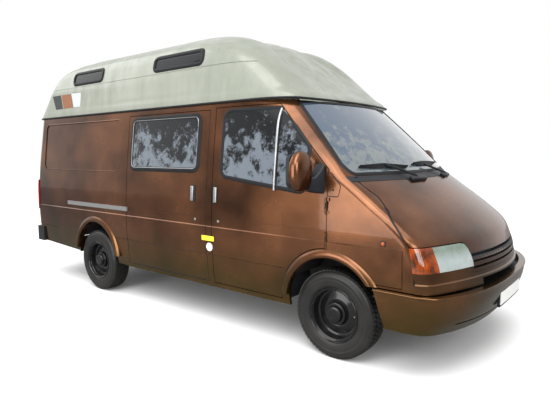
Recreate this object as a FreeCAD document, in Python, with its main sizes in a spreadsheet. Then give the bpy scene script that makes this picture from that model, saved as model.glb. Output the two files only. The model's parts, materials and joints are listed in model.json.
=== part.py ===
import FreeCAD, Part
import math
import os
import Sketcher

# A long-wheelbase camper van: steel body, plastic high roof, sliding side door.
# Frame: +X forward, +Y to the van's left, +Z up, origin on the ground under the middle.

vector = FreeCAD.Vector

# Driving sizes in millimetres. Places along the van are distances behind the front axle,
# positive rearwards, unless the name says ahead.
sizes = {
    # whole van
    "body_length": 5370, "front_overhang": 985, "wheelbase": 3020, "half_width": 966,
    "sill_height": 340, "seam_height": 1917, "rear_sill_rise": 100, "overrun": 60,
    # nose and screen, measured from the front axle
    "nose_ahead": 941, "nose_run": 1280, "bow_depth": 233, "corner_reach": 160, "corner_run": 380,
    "rear_overhang": 1315, "rear_lean": 35, "rear_corner": 90,
    # walls
    "wall": 45, "skin": 25, "glass": 6, "gap": 6, "seat_gap": 0.3,
    # front door
    "door_front": 20, "window_bar": 505, "window_bar_width": 16, "door_rear": 1190,
    "door_low": 378, "door_high": 1884,
    "pillar_foot_height": 1385, "pillar_foot": 20, "pillar_head": 530,
    "window_front": 200, "window_rear": 1085, "window_low": 1208, "window_high": 1850,
    "window_rise": 100, "window_radius": 70, "window_nose_height": 1540, "window_head": 500,
    # sliding door and its window
    "slide_front": 1255, "slide_rear": 2432, "slide_high": 1872,
    "pane_front": 1380, "pane_rear": 2360, "pane_low": 1350, "pane_high": 1832, "pane_radius": 60,
    "rail_front": 2402, "rail_rear": 3562, "rail_low": 921, "rail_high": 963, "rail_depth": 16,
    # pressings along the sides
    "groove_height": 952, "groove_width": 8, "groove_depth": 4,
    "groove_front_ahead": 530, "groove_rear": 2426,
    "swage_height": 883, "crease_height": 620, "swage_proud": 6, "swage_slope": 12,
    "swage_root": 4,
    "swage_front_ahead": 550, "swage_rear": 4280,
    # hinges
    "hinge_room": 1, "hinge_radius": 10, "hinge_height": 70, "hinge_ear": 22, "hinge_leaf": 24,
    "door_hinge_low": 880, "door_hinge_high": 1130, "rear_hinge_low": 760, "rear_hinge_high": 1720,
    "bonnet_axis_ahead": 80, "arm_width": 24, "arm_reach": 190, "arm_out": 690,
    # pressed recess behind the sliding door
    "recess_front": 2570, "recess_rear": 4150, "recess_low": 1314, "recess_high": 1846,
    "recess_depth": 7, "recess_radius": 60,
    # wheel arches
    "arch_height": 385, "arch_radius": 372, "flare_width": 66, "flare_proud": 20,
    "flare_foot": 430, "arch_depth": 290, "arch_cover": 4,
    # nose
    "wing_front": 607, "wing_high": 1298, "flap_height": 1245, "flap_front": 84,
    "bonnet_edge": 905, "bonnet_nose_edge": 825, "bonnet_half": 905,
    "bonnet_rear_height": 1300, "cowl_depth": 48, "cowl_lip": 12, "lamp_low": 742,
    "lamp_shoulder": 583, "lamp_inner": 515, "lamp_split": 838, "lamp_depth": 90,
    "valance_low": 612, "valance_ledge": 676, "ledge_proud": 10, "ledge_slope": 8,
    "intake_half": 440, "intake_high": 656, "grille_low": 700,
    "slat_height": 24, "slat_gap": 15, "slat_count": 3, "slat_depth": 45, "grille_back": 12,
    # windscreen
    "screen_low": 1348, "screen_high": 1904, "screen_low_half": 878, "screen_high_half": 712,
    "screen_radius": 60,
    # bumpers
    "bumper_foot_ahead": 431, "bumper_low": 340, "bumper_high": 606, "bumper_ahead": 985, "bumper_half": 986,
    "bumper_wall": 45, "bumper_end_ahead": 353, "bumper_bow": 217, "bumper_corner": 90,
    "bumper_run": 120, "bumper_drop": 93, "bumper_groove_low": 398, "bumper_groove_high": 408,
    "bumper_groove_depth": 6, "bumper_groove_half": 760,
    "rear_bumper_low": 425, "rear_bumper_high": 600, "rear_bumper_half": 975,
    "rear_bumper_depth": 50, "rear_bumper_wrap": 150, "rear_bumper_corner": 70,
    # rear doors
    "rear_door_low": 640, "rear_door_high": 1862, "rear_door_half": 795,
    "rear_pane_low": 1310, "rear_pane_high": 1790, "rear_pane_inner": 90, "rear_pane_outer": 700,
    "rear_post": 110, "tail_lamp_low": 820, "tail_lamp_high": 1180, "tail_lamp_depth": 14,
    "tail_lamp_wrap": 55, "tail_lamp_inner": 812,
    # high roof
    "roof_height": 682, "roof_half": 884, "roof_nose": 345, "roof_slope_run": 1350,
    "roof_rear_run": 1700, "roof_wall": 28, "roof_bow": 130, "roof_corner": 400, "roof_side_run": 400,
    "rib_depth": 55, "roof_crease_height": 2250, "roof_crease_width": 8, "roof_crease_depth": 4,
    "roof_crease_front": 840, "roof_crease_rear": 4150,
    "roof_pane_low": 2284, "roof_pane_high": 2405, "roof_pane_radius": 40,
    "roof_front_pane_front": 1400, "roof_front_pane_rear": 2075,
    "roof_rear_pane_front": 2970, "roof_rear_pane_rear": 3550,
    # wheels
    "tyre_radius": 330.5, "tyre_width": 205, "front_wheel_out": 920, "rear_wheel_out": 958,
    "rim_radius": 184, "bore_radius": 24, "bearing_gap": 0.05, "hub_reach": 45, "spindle_reach": 30,
    # axles
    "king_pin_out": 700, "king_pin_radius": 14, "beam_height": 62, "beam_width": 48,
    "beam_drop": 60, "beam_straight": 470, "ear_height": 26, "eye_radius": 34, "yoke_gap": 1,
    "post_width": 20, "axle_tube": 42, "diff_radius": 140, "diff_lift": 20,
    "drum_radius": 130, "drum_width": 50, "spring_pad": 6,
    # chassis
    "rail_half": 400, "rail_width": 60, "rail_height": 110, "rail_bottom": 450,
    "rail_wall": 6, "shaft_room": 12, "cross_width": 80, "tow_plate": 8, "tow_plate_length": 220,
    "tow_hole_radius": 7, "tow_hole_spacing": 120, "tow_hole_aft": 4100,
    "floor_thickness": 24, "well_radius": 425, "front_well_inner": 500, "rear_well_inner": 690,
    "well_wall": 4, "leaf_width": 60, "leaf_stack": 30, "leaf_half": 590, "leaf_eye": 22,
    # inside and under
    "engine_length": 520, "engine_width": 420, "engine_height": 540, "engine_rear_ahead": 110,
    "gearbox_radius": 105, "gearbox_length": 560, "gearbox_height": 560,
    "firewall_ahead": 40, "firewall_wall": 24, "firewall_high": 1240,
    "dash_low": 930, "dash_high": 1190, "dash_depth": 330, "dash_half": 850, "dash_round": 40,
    "hoop_radius": 200, "hoop_tube": 13, "hoop_out": 430, "hoop_aft": 400, "hoop_height": 1150,
    "hoop_tilt": 38, "column_radius": 18, "hoop_hub": 45,
    "seat_out": 470, "seat_width": 490, "seat_depth": 500, "seat_base": 300, "seat_cushion": 130,
    "seat_back_height": 640, "seat_back_width": 110, "seat_front_aft": 560,
    "tank_length": 620, "tank_width": 330, "tank_height": 190, "tank_aft": 1500,
    "exhaust_radius": 26, "exhaust_out": 220, "exhaust_height": 402, "silencer_radius": 70,
    "silencer_length": 560, "silencer_drop": 20, "silencer_aft": 1900, "exhaust_tail_aft": 4200,
    "hanger_radius": 6, "prop_radius": 38,
    # mirrors
    "mirror_out": 1200, "mirror_height": 285, "mirror_width": 180, "mirror_depth": 115,
    "mirror_low": 1232, "mirror_aft": 80, "arm_radius": 9, "mirror_round": 50, "arm_aft": 75,
    "arm_low": 1285, "arm_high": 1440, "foot_low": 1250, "foot_high": 1475,
    "foot_width": 60, "foot_proud": 26,
    "filler_radius": 36, "filler_aft": 1212, "filler_height": 697, "filler_depth": 14,
}

doc = FreeCAD.newDocument("camper_van")
sheet = doc.addObject("Spreadsheet::Sheet", "Sizes")
for row, (alias, value) in enumerate(sizes.items(), start=1):
    sheet.set("A%d" % row, alias)
    sheet.set("B%d" % row, str(value))
    sheet.setAlias("B%d" % row, alias)
doc.recompute()


class SheetValues:
    """Sizes read from the sheet by name."""

    def __getattr__(self, alias):
        return float(sheet.get(alias))


size = SheetValues()

front_axle = size.body_length / 2 - size.front_overhang
rear_axle = front_axle - size.wheelbase
front_end = size.body_length / 2
rear_end = -size.body_length / 2
up, left, ahead = vector(0, 0, 1), vector(0, 1, 0), vector(1, 0, 0)

pieces = {}


def aft(distance):
    """The place along the van that lies this far behind the front axle."""
    return front_axle - distance


def keep(label, shape):
    """Store a finished solid as a piece of its own."""
    piece = doc.addObject("Part::Feature", label)
    piece.Label = label
    piece.Shape = shape
    piece.Placement = FreeCAD.Placement()
    pieces[label] = piece
    return piece


def box(x, y, z):
    """A block between two places along each axis."""
    corner = vector(min(x), min(y), min(z))
    return Part.makeBox(abs(x[1] - x[0]), abs(y[1] - y[0]), abs(z[1] - z[0]), corner)


def rod(start, end, radius):
    """A round bar from one point to another."""
    along = end - start
    return Part.makeCylinder(radius, along.Length, start, along)


def mirrored(shape):
    """The same shape on the other side of the van."""
    return shape.mirror(vector(), left)


def both_sides(shape):
    return Part.makeCompound([shape, mirrored(shape)])


def rounded_prism(points, radius, start, travel):
    """An outline with rounded corners, pushed along a direction."""
    corners = len(points)
    edges, ends = [], []
    for i, point in enumerate(points):
        before = (points[i - 1] - point).normalize()
        after = (points[(i + 1) % corners] - point).normalize()
        half_turn = before.getAngle(after) / 2
        reach = radius / math.tan(half_turn)
        centre_way = (before + after).normalize()
        middle = point + centre_way * (radius / math.sin(half_turn) - radius)
        ends.append((point + before * reach, middle, point + after * reach))
    for i, (arc_start, middle, arc_end) in enumerate(ends):
        edges.append(Part.Arc(arc_start, middle, arc_end).toShape())
        edges.append(Part.LineSegment(arc_end, ends[(i + 1) % corners][0]).toShape())
    face = Part.Face(Part.Wire(edges))
    face.translate(start)
    return face.extrude(travel)


def side_prism(outline, side, radius=0):
    """An outline seen from the side, given as places along and heights, pushed through one side."""
    points = [vector(x, 0, z) for x, z in outline]
    reach = size.half_width + size.overrun
    if radius:
        return rounded_prism(points, radius, vector(), left * (reach * side))
    wire = Part.makePolygon(points + points[:1])
    return Part.Face(wire).extrude(left * (reach * side))


# The body is a stack of plan outlines. Each row gives, as shares of the size that it follows:
# height between sill and seam, half width, nose reach, corner reach, corner run, rear lean.
body_rows_share = [
    (0.000, 0.965, 0.968, 0.60, 0.32, 0.0),
    (0.089, 0.985, 0.988, 0.58, 0.30, 0.0),
    (0.178, 0.994, 1.000, 0.56, 0.29, 0.0),
    (0.266, 0.999, 0.985, 0.53, 0.28, 0.0),
    (0.326, 1.000, 0.958, 0.50, 0.27, 0.0),
    (0.358, 1.000, 0.943, 0.48, 0.26, 0.0),
    (0.393, 0.999, 0.904, 0.46, 0.25, 0.0),
    (0.459, 0.997, 0.803, 0.43, 0.24, 0.0),
    (0.519, 0.991, 0.698, 0.40, 0.24, 0.05),
    (0.598, 0.981, 0.561, 0.38, 0.26, 0.15),
    (0.631, 0.976, 0.499, 0.38, 0.29, 0.2),
    (0.745, 0.956, 0.352, 0.53, 0.47, 0.45),
    (0.879, 0.930, 0.169, 0.75, 0.74, 0.75),
    (1.000, 0.907, 0.000, 1.00, 1.00, 1.0),
]


bow_points, wave_points, rib_waves = 7, 25, 3


def bow(y, half, depth, power):
    """How far a front curve falls back at a distance from the van's middle."""
    return depth * (abs(y) / half) ** power


def plan_wire(height, half, front, rear, corner, run, rear_corner, depth, power, inset, rib=0):
    """A closed plan outline: bowed front, drawn-back front corners, sides, round rear corners.
    With a rib depth, three valleys run back between four ribs on the front."""
    half, front, rear = half - inset, front - inset, rear + inset
    corner, rear_corner = max(corner - inset, inset), max(rear_corner - inset, inset)
    start = half - corner
    count = wave_points if rib else bow_points
    curve = []
    for i in range(count):
        y = start - 2 * start * i / (count - 1)
        valley = rib * (1 + math.cos(rib_waves * math.pi * y / start)) / 2
        curve.append(vector(front - bow(y, size.half_width, depth, power) - valley, y, height))
    nose = Part.BSplineCurve()
    nose.interpolate(curve)
    slope = depth * power / size.half_width * (start / size.half_width) ** (power - 1)
    knee = curve[0].x - slope * corner
    side_start = knee - run
    edges = [nose.toShape()]

    def corner_edge(first, control, last):
        bend = Part.BezierCurve()
        bend.setPoles([first, control, last])
        return bend.toShape()

    edges.append(corner_edge(curve[-1], vector(knee, -half, height), vector(side_start, -half, height)))
    edges.append(Part.LineSegment(vector(side_start, -half, height),
                                  vector(rear + rear_corner, -half, height)).toShape())
    edges.append(corner_edge(vector(rear + rear_corner, -half, height), vector(rear, -half, height),
                             vector(rear, -half + rear_corner, height)))
    edges.append(Part.LineSegment(vector(rear, -half + rear_corner, height),
                                  vector(rear, half - rear_corner, height)).toShape())
    edges.append(corner_edge(vector(rear, half - rear_corner, height), vector(rear, half, height),
                             vector(rear + rear_corner, half, height)))
    edges.append(Part.LineSegment(vector(rear + rear_corner, half, height),
                                  vector(side_start, half, height)).toShape())
    edges.append(corner_edge(vector(side_start, half, height), vector(knee, half, height), curve[0]))
    return Part.Wire(edges)


def stack(wires):
    """A solid through a stack of outlines."""
    solid = Part.makeLoft(wires, True, False)
    return solid if solid.Volume > 0 else solid.reversed()


def read_row(rows, level):
    """A row of shares at any level, between the rows that are given."""
    for low, high in zip(rows, rows[1:]):
        if level <= high[0]:
            blend = (level - low[0]) / (high[0] - low[0])
            return [a + blend * (b - a) for a, b in zip(low, high)]
    return list(rows[-1])


def body_values(height, inset):
    """The plan outline of the steel body at a height."""
    level = (height - size.sill_height) / (size.seam_height - size.sill_height)
    row = read_row(body_rows_share, min(max(level, 0), 1))
    half, reach, corner, run, lean = row[1:]
    root = front_axle + size.nose_ahead - size.nose_run
    rear = rear_axle - size.rear_overhang
    return (half * size.half_width, root + reach * size.nose_run, rear + lean * size.rear_lean,
            corner * size.corner_reach, run * size.corner_run, size.rear_corner,
            size.bow_depth, 2, inset)


def body_form(inset, overrun):
    """The steel body's outer form, or the form of its hollow when inset, open at both ends."""
    low, high = size.sill_height - overrun, size.seam_height + overrun
    steps = 22
    heights = [low + (high - low) * i / steps for i in range(steps + 1)]
    return stack([plan_wire(height, *body_values(height, inset)) for height in heights])


def band_form(levels):
    """A short ruled stack of the body's outlines, each given by its height and inset."""
    wires = [plan_wire(height, *body_values(height, inset)) for height, inset in levels]
    return Part.makeLoft(wires, True, True)


def side_slabs(front, rear, low, high):
    """Two thin upright slabs that hold the outer skin of both sides between two places."""
    slab = box((aft(rear), aft(front)), (-size.half_width - size.overrun, -size.half_width + size.skin),
               (low, high))
    return slab.fuse(mirrored(slab))


# A raised band runs between the swage and the crease, and a narrow groove above it.
swage_middle = (size.crease_height + size.swage_height) / 2
raised_band = band_form([(size.crease_height, size.swage_root),
                         (size.crease_height + size.swage_slope, -size.swage_proud),
                         (swage_middle, -size.swage_proud),
                         (size.swage_height - size.swage_slope, -size.swage_proud),
                         (size.swage_height, size.swage_root)])
raised_band = raised_band.common(side_slabs(-size.swage_front_ahead, size.swage_rear, size.crease_height,
                                            size.swage_height))
groove_low = size.groove_height - size.groove_width / 2
groove_high = size.groove_height + size.groove_width / 2
groove = side_slabs(-size.groove_front_ahead, size.groove_rear, groove_low, groove_high)
groove = groove.cut(band_form([(groove_low - size.gap, size.groove_depth),
                               (groove_high + size.gap, size.groove_depth)]))
outer = body_form(0, 0).fuse(raised_band).cut(groove)
hollow = body_form(size.wall, size.overrun)
thin_hollow = body_form(size.skin, size.overrun)
glass_hollow = body_form(size.glass, size.overrun)
panel_shell = outer.cut(hollow)
skin_shell = outer.cut(thin_hollow)
glass_shell = outer.cut(glass_hollow)

far = size.half_width + size.overrun
top = size.seam_height + size.overrun
half_gap = size.gap / 2
rear_face = rear_axle - size.rear_overhang
rear_split = rear_face + size.rear_post


def arch(axle, radius):
    """A round column across the right side at a wheel."""
    return Part.makeCylinder(radius, far, vector(axle, -far, size.arch_height), left)


# The sill line rises towards the tail, so the body's lower edge is cut along a slope.
sill_cut = side_prism([(rear_face - size.overrun, size.sill_height - size.overrun),
                       (aft(size.slide_rear), size.sill_height - size.overrun),
                       (aft(size.slide_rear), size.sill_height),
                       (rear_face - size.overrun, size.sill_height + size.rear_sill_rise)], -1)


def door_outline(grow):
    """The front door's edge in side view, grown by a clearance."""
    slope = (size.door_high - size.pillar_foot_height) / (size.pillar_head - size.pillar_foot)
    lift = grow * math.sqrt(1 + slope ** 2)
    return [(aft(size.door_rear) - grow, size.door_low - grow),
            (aft(size.door_rear) - grow, size.door_high + grow),
            (aft(size.pillar_head) + (lift - grow) / slope, size.door_high + grow),
            (aft(size.door_front) + grow, size.pillar_foot_height + lift - grow * slope),
            (aft(size.door_front) + grow, size.door_low - grow)]


def rectangle(front, rear, low, high):
    return [(aft(rear), low), (aft(rear), high), (aft(front), high), (aft(front), low)]


flare_outer = size.arch_radius + size.flare_width
front_flare = arch(front_axle, flare_outer)
front_arch = arch(front_axle, size.arch_radius)
rear_arch = arch(rear_axle, size.arch_radius)

# The flare's section, as shares of its width from the arch outwards and of how far it stands proud.
flare_section_share = [(0, 0.35), (0.07, 0.80), (0.20, 1.0), (0.45, 0.97), (0.68, 0.72), (0.86, 0.36),
                       (1, 0)]


def flare_ring(axle):
    """A rounded flare turned about the wheel arch's middle, on the right side."""
    inner_y = -size.half_width + size.wall
    section = [(size.arch_radius, inner_y)]
    section += [(size.arch_radius + out * size.flare_width, -size.half_width - proud * size.flare_proud)
                for out, proud in flare_section_share]
    section += [(flare_outer, inner_y)]
    points = [vector(axle + reach, y, size.arch_height) for reach, y in section]
    face = Part.Face(Part.makePolygon(points + points[:1]))
    return face.revolve(vector(axle, 0, size.arch_height), left, 360)


def hinge(axis_x, axis_y, place, moving, fixed):
    """One hinge on an upright axis: a barrel with its leaf for the door, two ears for the post
    and the pocket that both panels need round them."""
    low, high = place - size.hinge_height / 2, place + size.hinge_height / 2
    ear_low, ear_high = low - size.hinge_ear, high + size.hinge_ear

    def barrel(z_low, z_high, leaf_x, leaf_y):
        pin = rod(vector(axis_x, axis_y, z_low), vector(axis_x, axis_y, z_high), size.hinge_radius)
        return pin.fuse(box(leaf_x, leaf_y, (z_low, z_high)))

    door_part = barrel(low, high, *moving)
    ears = barrel(ear_low, low - size.seat_gap, *fixed)
    ears = ears.fuse(barrel(high + size.seat_gap, ear_high, *fixed))
    reach = size.hinge_radius + size.hinge_room
    pocket = box((axis_x - reach, axis_x + reach), (axis_y - reach, axis_y + reach),
                 (ear_low - size.gap, ear_high + size.gap))
    return door_part, ears, pocket


# Front door, hollow at its window, cut round the wheel arch flare.
window_outline = [(aft(size.window_rear), size.window_low + size.window_rise),
                  (aft(size.window_rear), size.window_high),
                  (aft(size.window_head), size.window_high),
                  (aft(size.window_front), size.window_nose_height),
                  (aft(size.window_front), size.window_low)]
window_hole = side_prism(window_outline, -1, size.window_radius)
divider = box((aft(size.window_bar) - size.window_bar_width / 2,
               aft(size.window_bar) + size.window_bar_width / 2),
              (-far, 0), (size.window_low - size.overrun, size.window_high + size.overrun))
door_opening = side_prism(door_outline(0), -1)
door = panel_shell.common(side_prism(door_outline(-size.gap), -1))
door = door.cut(arch(front_axle, flare_outer + size.gap)).cut(window_hole.cut(divider))
door_axis_x, door_axis_y = aft(size.door_front) - size.gap, -size.half_width
leaf_depth = (-size.half_width, -size.half_width + size.skin)
door_ears = []
for place in (size.door_hinge_low, size.door_hinge_high):
    moving = ((door_axis_x - size.hinge_leaf, door_axis_x), leaf_depth)
    fixed = ((door_axis_x + size.hinge_room, door_axis_x + size.hinge_leaf), leaf_depth)
    door_part, ears, pocket = hinge(door_axis_x, door_axis_y, place, moving, fixed)
    door = door.cut(pocket).fuse(door_part)
    door_ears.append((ears, pocket))


def pane(hole_outline, radius, bar=None):
    """Glass seated in a window hole of the right side."""
    hole = side_prism(hole_outline, -1, radius)
    glass = glass_shell.common(hole)
    return glass.cut(bar) if bar else glass


door_glass = pane(window_outline, size.window_radius, divider)
keep("front_door_right", door)
keep("front_door_left", mirrored(door))
keep("front_door_glass_right", door_glass)
keep("front_door_glass_left", mirrored(door_glass))

# Sliding door with its one wide window.
slide_edges = (size.slide_front, size.slide_rear, size.door_low, size.slide_high)
slide_opening = side_prism(rectangle(*slide_edges), -1)
slide_shape = side_prism(rectangle(size.slide_front + size.gap, size.slide_rear - size.gap,
                                   size.door_low + size.seat_gap, size.slide_high - size.gap), -1)
pane_outline = rectangle(size.pane_front, size.pane_rear, size.pane_low, size.pane_high)
pane_hole = side_prism(pane_outline, -1, size.pane_radius)
sliding = panel_shell.common(slide_shape).cut(pane_hole)
keep("sliding_door", sliding)
side_pane = pane(pane_outline, size.pane_radius)
keep("side_windows", both_sides(side_pane))

# Side panels with pillars, sills, rear arches and the pressed recess.
front_upper = side_prism([(aft(size.pillar_head), top), (aft(size.pillar_head), size.door_high),
                          (aft(size.pillar_foot), size.pillar_foot_height),
                          (aft(size.pillar_foot), size.flap_height),
                          (aft(-size.flap_front), size.flap_height),
                          (aft(-size.flap_front), size.wing_high),
                          (front_end + size.overrun, size.wing_high), (front_end + size.overrun, top)], -1)
wing_zone = box((aft(size.pillar_foot), front_end + size.overrun), (-far, 0),
                (size.sill_height - size.overrun, size.wing_high))
recess = side_prism(rectangle(size.recess_front, size.recess_rear, size.recess_low, size.recess_high),
                    -1, size.recess_radius)
recess = recess.cut(body_form(size.recess_depth, size.overrun))
flare_slab = box((rear_end, front_end), (-size.half_width - size.flare_proud, -size.half_width + size.wall),
                 (size.flare_foot, top))
side_zone = box((rear_split, front_end), (-far, 0), (size.sill_height - size.overrun, top))
side = panel_shell.common(side_zone).cut(sill_cut).cut(front_upper).cut(wing_zone)
side = side.cut(front_flare).cut(recess)
rear_ring = flare_ring(rear_axle).common(flare_slab).cut(hollow)
plain_side = side.cut(door_opening).cut(rear_arch).fuse(rear_ring)
right_side = plain_side.cut(slide_opening)
left_side = plain_side.cut(pane_hole)
keep("side_panel_right", right_side)
keep("side_panel_left", mirrored(left_side))

# The seam ahead of each wing, seen from the side: places as shares of the wing's front reach,
# heights as shares of the rise from the bonnet's edge to the wing's top.
wing_seam_share = [(0.275, 1.0), (0.51, 0.756), (0.674, 0.542), (0.817, 0.298), (0.967, 0.013),
                   (1.003, -0.224), (1.049, -0.746), (1.06, -1.5)]


def ahead_of_seam(shift):
    """Everything ahead of the wing seam on both sides, moved forward by a clearance."""
    rise = size.wing_high - size.bonnet_edge
    edge = [(aft(-size.wing_front * x) + shift, size.bonnet_edge + z * rise) for x, z in wing_seam_share]
    edge += [(front_end + size.overrun, edge[-1][1]), (front_end + size.overrun, top), (edge[0][0], top)]
    zone = side_prism(edge, -1)
    return zone.fuse(mirrored(zone))


def behind_bow(place, half, depth):
    """Everything behind a bowed line across the van."""
    curve = []
    count = 9
    for i in range(count):
        y = half - 2 * half * i / (count - 1)
        curve.append(vector(place - bow(y, size.half_width, depth, 2), y, size.sill_height))
    line = Part.BSplineCurve()
    line.interpolate(curve)
    rear = place - size.nose_run
    corner_a, corner_b = vector(rear, -half, size.sill_height), vector(rear, half, size.sill_height)
    wire = Part.Wire([line.toShape(), Part.LineSegment(curve[-1], corner_a).toShape(),
                      Part.LineSegment(corner_a, corner_b).toShape(),
                      Part.LineSegment(corner_b, curve[0]).toShape()])
    return Part.Face(wire).extrude(up * (top - size.sill_height))


nose_root = front_axle + size.nose_ahead - size.nose_run
bonnet_level = (size.bonnet_rear_height - size.sill_height) / (size.seam_height - size.sill_height)
bonnet_rear = nose_root + read_row(body_rows_share, bonnet_level)[2] * size.nose_run
frame_low = size.screen_low - size.cowl_lip
cowl_block = box((0, front_end), (-size.bonnet_half, size.bonnet_half),
                 (size.wing_high - size.cowl_depth, frame_low))
cowl_block = cowl_block.common(behind_bow(bonnet_rear, far, size.bow_depth))

# Front wings with their flares; the flare runs on behind the door's corner.
wing_body = skin_shell.common(box((aft(size.pillar_foot), front_end), (-far, 0),
                                  (size.sill_height, size.wing_high)))
wing_body = wing_body.cut(front_upper).cut(ahead_of_seam(0)).cut(cowl_block)
wing_strip = skin_shell.common(front_flare.common(flare_slab.fuse(box(
    (rear_end, front_end), (-far, -size.half_width + size.overrun), (size.sill_height, top)))))
bumper_zone = box((front_axle, front_end + size.overrun), (-far, far),
                  (size.sill_height - size.overrun, size.valance_low))
front_ring = flare_ring(front_axle).common(flare_slab).cut(thin_hollow)
wing = wing_body.fuse(wing_strip).fuse(front_ring).cut(front_arch).cut(bumper_zone)
for ears, pocket in door_ears:
    wing = wing.cut(pocket).fuse(ears)
keep("front_wing_right", wing)
keep("front_wing_left", mirrored(wing))

# Screen frame: both front pillars and the header in one, with the screen's opening.
screen_points = [vector(0, -size.screen_low_half, size.screen_low),
                 vector(0, size.screen_low_half, size.screen_low),
                 vector(0, size.screen_high_half, size.screen_high),
                 vector(0, -size.screen_high_half, size.screen_high)]
screen_hole = rounded_prism(screen_points, size.screen_radius, vector(aft(size.door_rear), 0, 0),
                            ahead * size.body_length)
cowl_zone = box((0, front_end + size.overrun), (-size.bonnet_half, size.bonnet_half),
                (size.sill_height, frame_low))
whole_upper = front_upper.fuse(mirrored(front_upper))
screen_frame = panel_shell.common(whole_upper).cut(screen_hole).cut(cowl_zone)
keep("screen_frame", screen_frame)
keep("windscreen", glass_shell.common(screen_hole).common(whole_upper))

# The lamp's rounded inner corner, seen from the front: how far in from its shoulder to its inner
# edge and how far up from the bonnet's nose edge to its side edge, as shares.
lamp_corner_share = [(0, 1), (0.5, 0.9), (0.85, 0.55), (1, 0)]
lamp_corner = [(size.lamp_shoulder + x * (size.lamp_inner - size.lamp_shoulder),
                size.bonnet_nose_edge + z * (size.bonnet_edge - size.bonnet_nose_edge))
               for x, z in lamp_corner_share]


def front_prism(outline):
    """An outline seen from the front, given as places across and heights, pushed through the nose."""
    points = [vector(front_axle, y, z) for y, z in outline]
    face = Part.Face(Part.makePolygon(points + points[:1]))
    return face.extrude(ahead * (front_end + size.overrun - front_axle))


# Bonnet, parted from the cowl along the same bow as the nose.
bonnet_edge = [(far, size.bonnet_edge)] + lamp_corner
bonnet_edge += [(-y, z) for y, z in reversed(bonnet_edge)]
bonnet = skin_shell.common(front_prism(bonnet_edge + [(-far, top), (far, top)]))
bonnet = bonnet.common(ahead_of_seam(size.gap)).cut(behind_bow(bonnet_rear, far, size.bow_depth))
cowl = skin_shell.common(cowl_block).common(behind_bow(bonnet_rear - size.gap, far, size.bow_depth))
bonnet_axis_x = aft(-size.bonnet_axis_ahead)


def bonnet_hinge(y):
    """A swan-neck arm for the bonnet and its bracket under the cowl, at one side."""
    width = size.arm_width / 2

    def bar(points, low, high):
        edge = [vector(bonnet_axis_x + x * size.arm_reach, low, size.bonnet_rear_height + z * size.arm_reach)
                for x, z in points]
        return Part.Face(Part.makePolygon(edge + edge[:1])).extrude(left * (high - low))

    barrel = rod(vector(bonnet_axis_x, y - width, size.bonnet_rear_height),
                 vector(bonnet_axis_x, y + width, size.bonnet_rear_height), size.hinge_radius)
    arm = bar(swan_neck_share, y - width, y + width).fuse(barrel)
    inner, outer_y = y + width + size.seat_gap, y + width + size.seat_gap + size.arm_width
    axis_low = size.bonnet_rear_height - size.hinge_radius
    axis_high = size.bonnet_rear_height + size.hinge_radius
    bracket = rod(vector(bonnet_axis_x, inner, size.bonnet_rear_height),
                  vector(bonnet_axis_x, outer_y, size.bonnet_rear_height), size.hinge_radius)
    bracket_front = bonnet_axis_x + bracket_share * size.arm_reach
    bracket = bracket.fuse(box((bonnet_axis_x - size.hinge_radius, bracket_front), (inner, outer_y),
                               (axis_low, axis_high)))
    return arm.common(thin_hollow.fuse(skin_shell)), bracket.common(thin_hollow)


bracket_share = 0.55
swan_neck_share = [(-0.04, 0), (0.12, -0.86), (0.56, -0.88), (0.98, -0.46), (1.06, -0.05), (0.96, -0.05),
                   (0.90, -0.38), (0.52, -0.76), (0.22, -0.74), (0.04, 0)]
arms = [bonnet_hinge(side * size.arm_out) for side in (-1, 1)]
for arm, bracket in arms:
    bonnet = bonnet.fuse(arm)
    cowl = cowl.fuse(bracket)
keep("bonnet", bonnet)
keep("cowl", cowl)

# Nose: valance below the lamps, slatted grille between them.
nose_front = ahead_of_seam(size.seat_gap)
nose_zone = box((front_axle, front_end + size.overrun), (-far, far), (size.valance_low, size.lamp_low))
grille_low, grille_high = size.grille_low, size.bonnet_nose_edge - size.gap
grille_half = size.lamp_inner - size.seat_gap
nose = skin_shell.common(nose_zone).common(nose_front)
nose = nose.cut(box((0, front_end), (-grille_half, grille_half), (grille_low, top)))
ledge_top = size.valance_ledge
ledge = band_form([(size.valance_low, -size.ledge_proud), (ledge_top - size.ledge_slope, -size.ledge_proud),
                   (ledge_top, 0)])
ledge = ledge.cut(band_form([(size.valance_low - size.gap, size.skin), (ledge_top + size.gap, size.skin)]))
nose = nose.fuse(ledge.common(nose_front))
nose = nose.cut(box((0, front_end), (-size.intake_half, size.intake_half),
                    (size.valance_low - size.gap, size.intake_high)))
slat_shell = outer.cut(body_form(size.slat_depth, size.overrun))
slats = []
for i in range(int(size.slat_count)):
    slat_high = grille_high - size.slat_gap - i * (size.slat_height + size.slat_gap)
    slats.append(slat_shell.common(box((0, front_end), (-grille_half, grille_half),
                                       (slat_high - size.slat_height, slat_high))))
grille_hollow = body_form(size.slat_depth - size.grille_back, size.overrun)
backing = slat_shell.common(grille_hollow).common(box((0, front_end), (-grille_half, grille_half),
                                                      (grille_low, grille_high)))
shelf = slat_shell.common(box((0, front_end), (-grille_half, grille_half),
                              (grille_low - size.grille_back, grille_low)))
grille = nose.fuse(backing).fuse(shelf)
for slat in slats:
    grille = grille.fuse(slat)
keep("grille_panel", grille)

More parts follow.
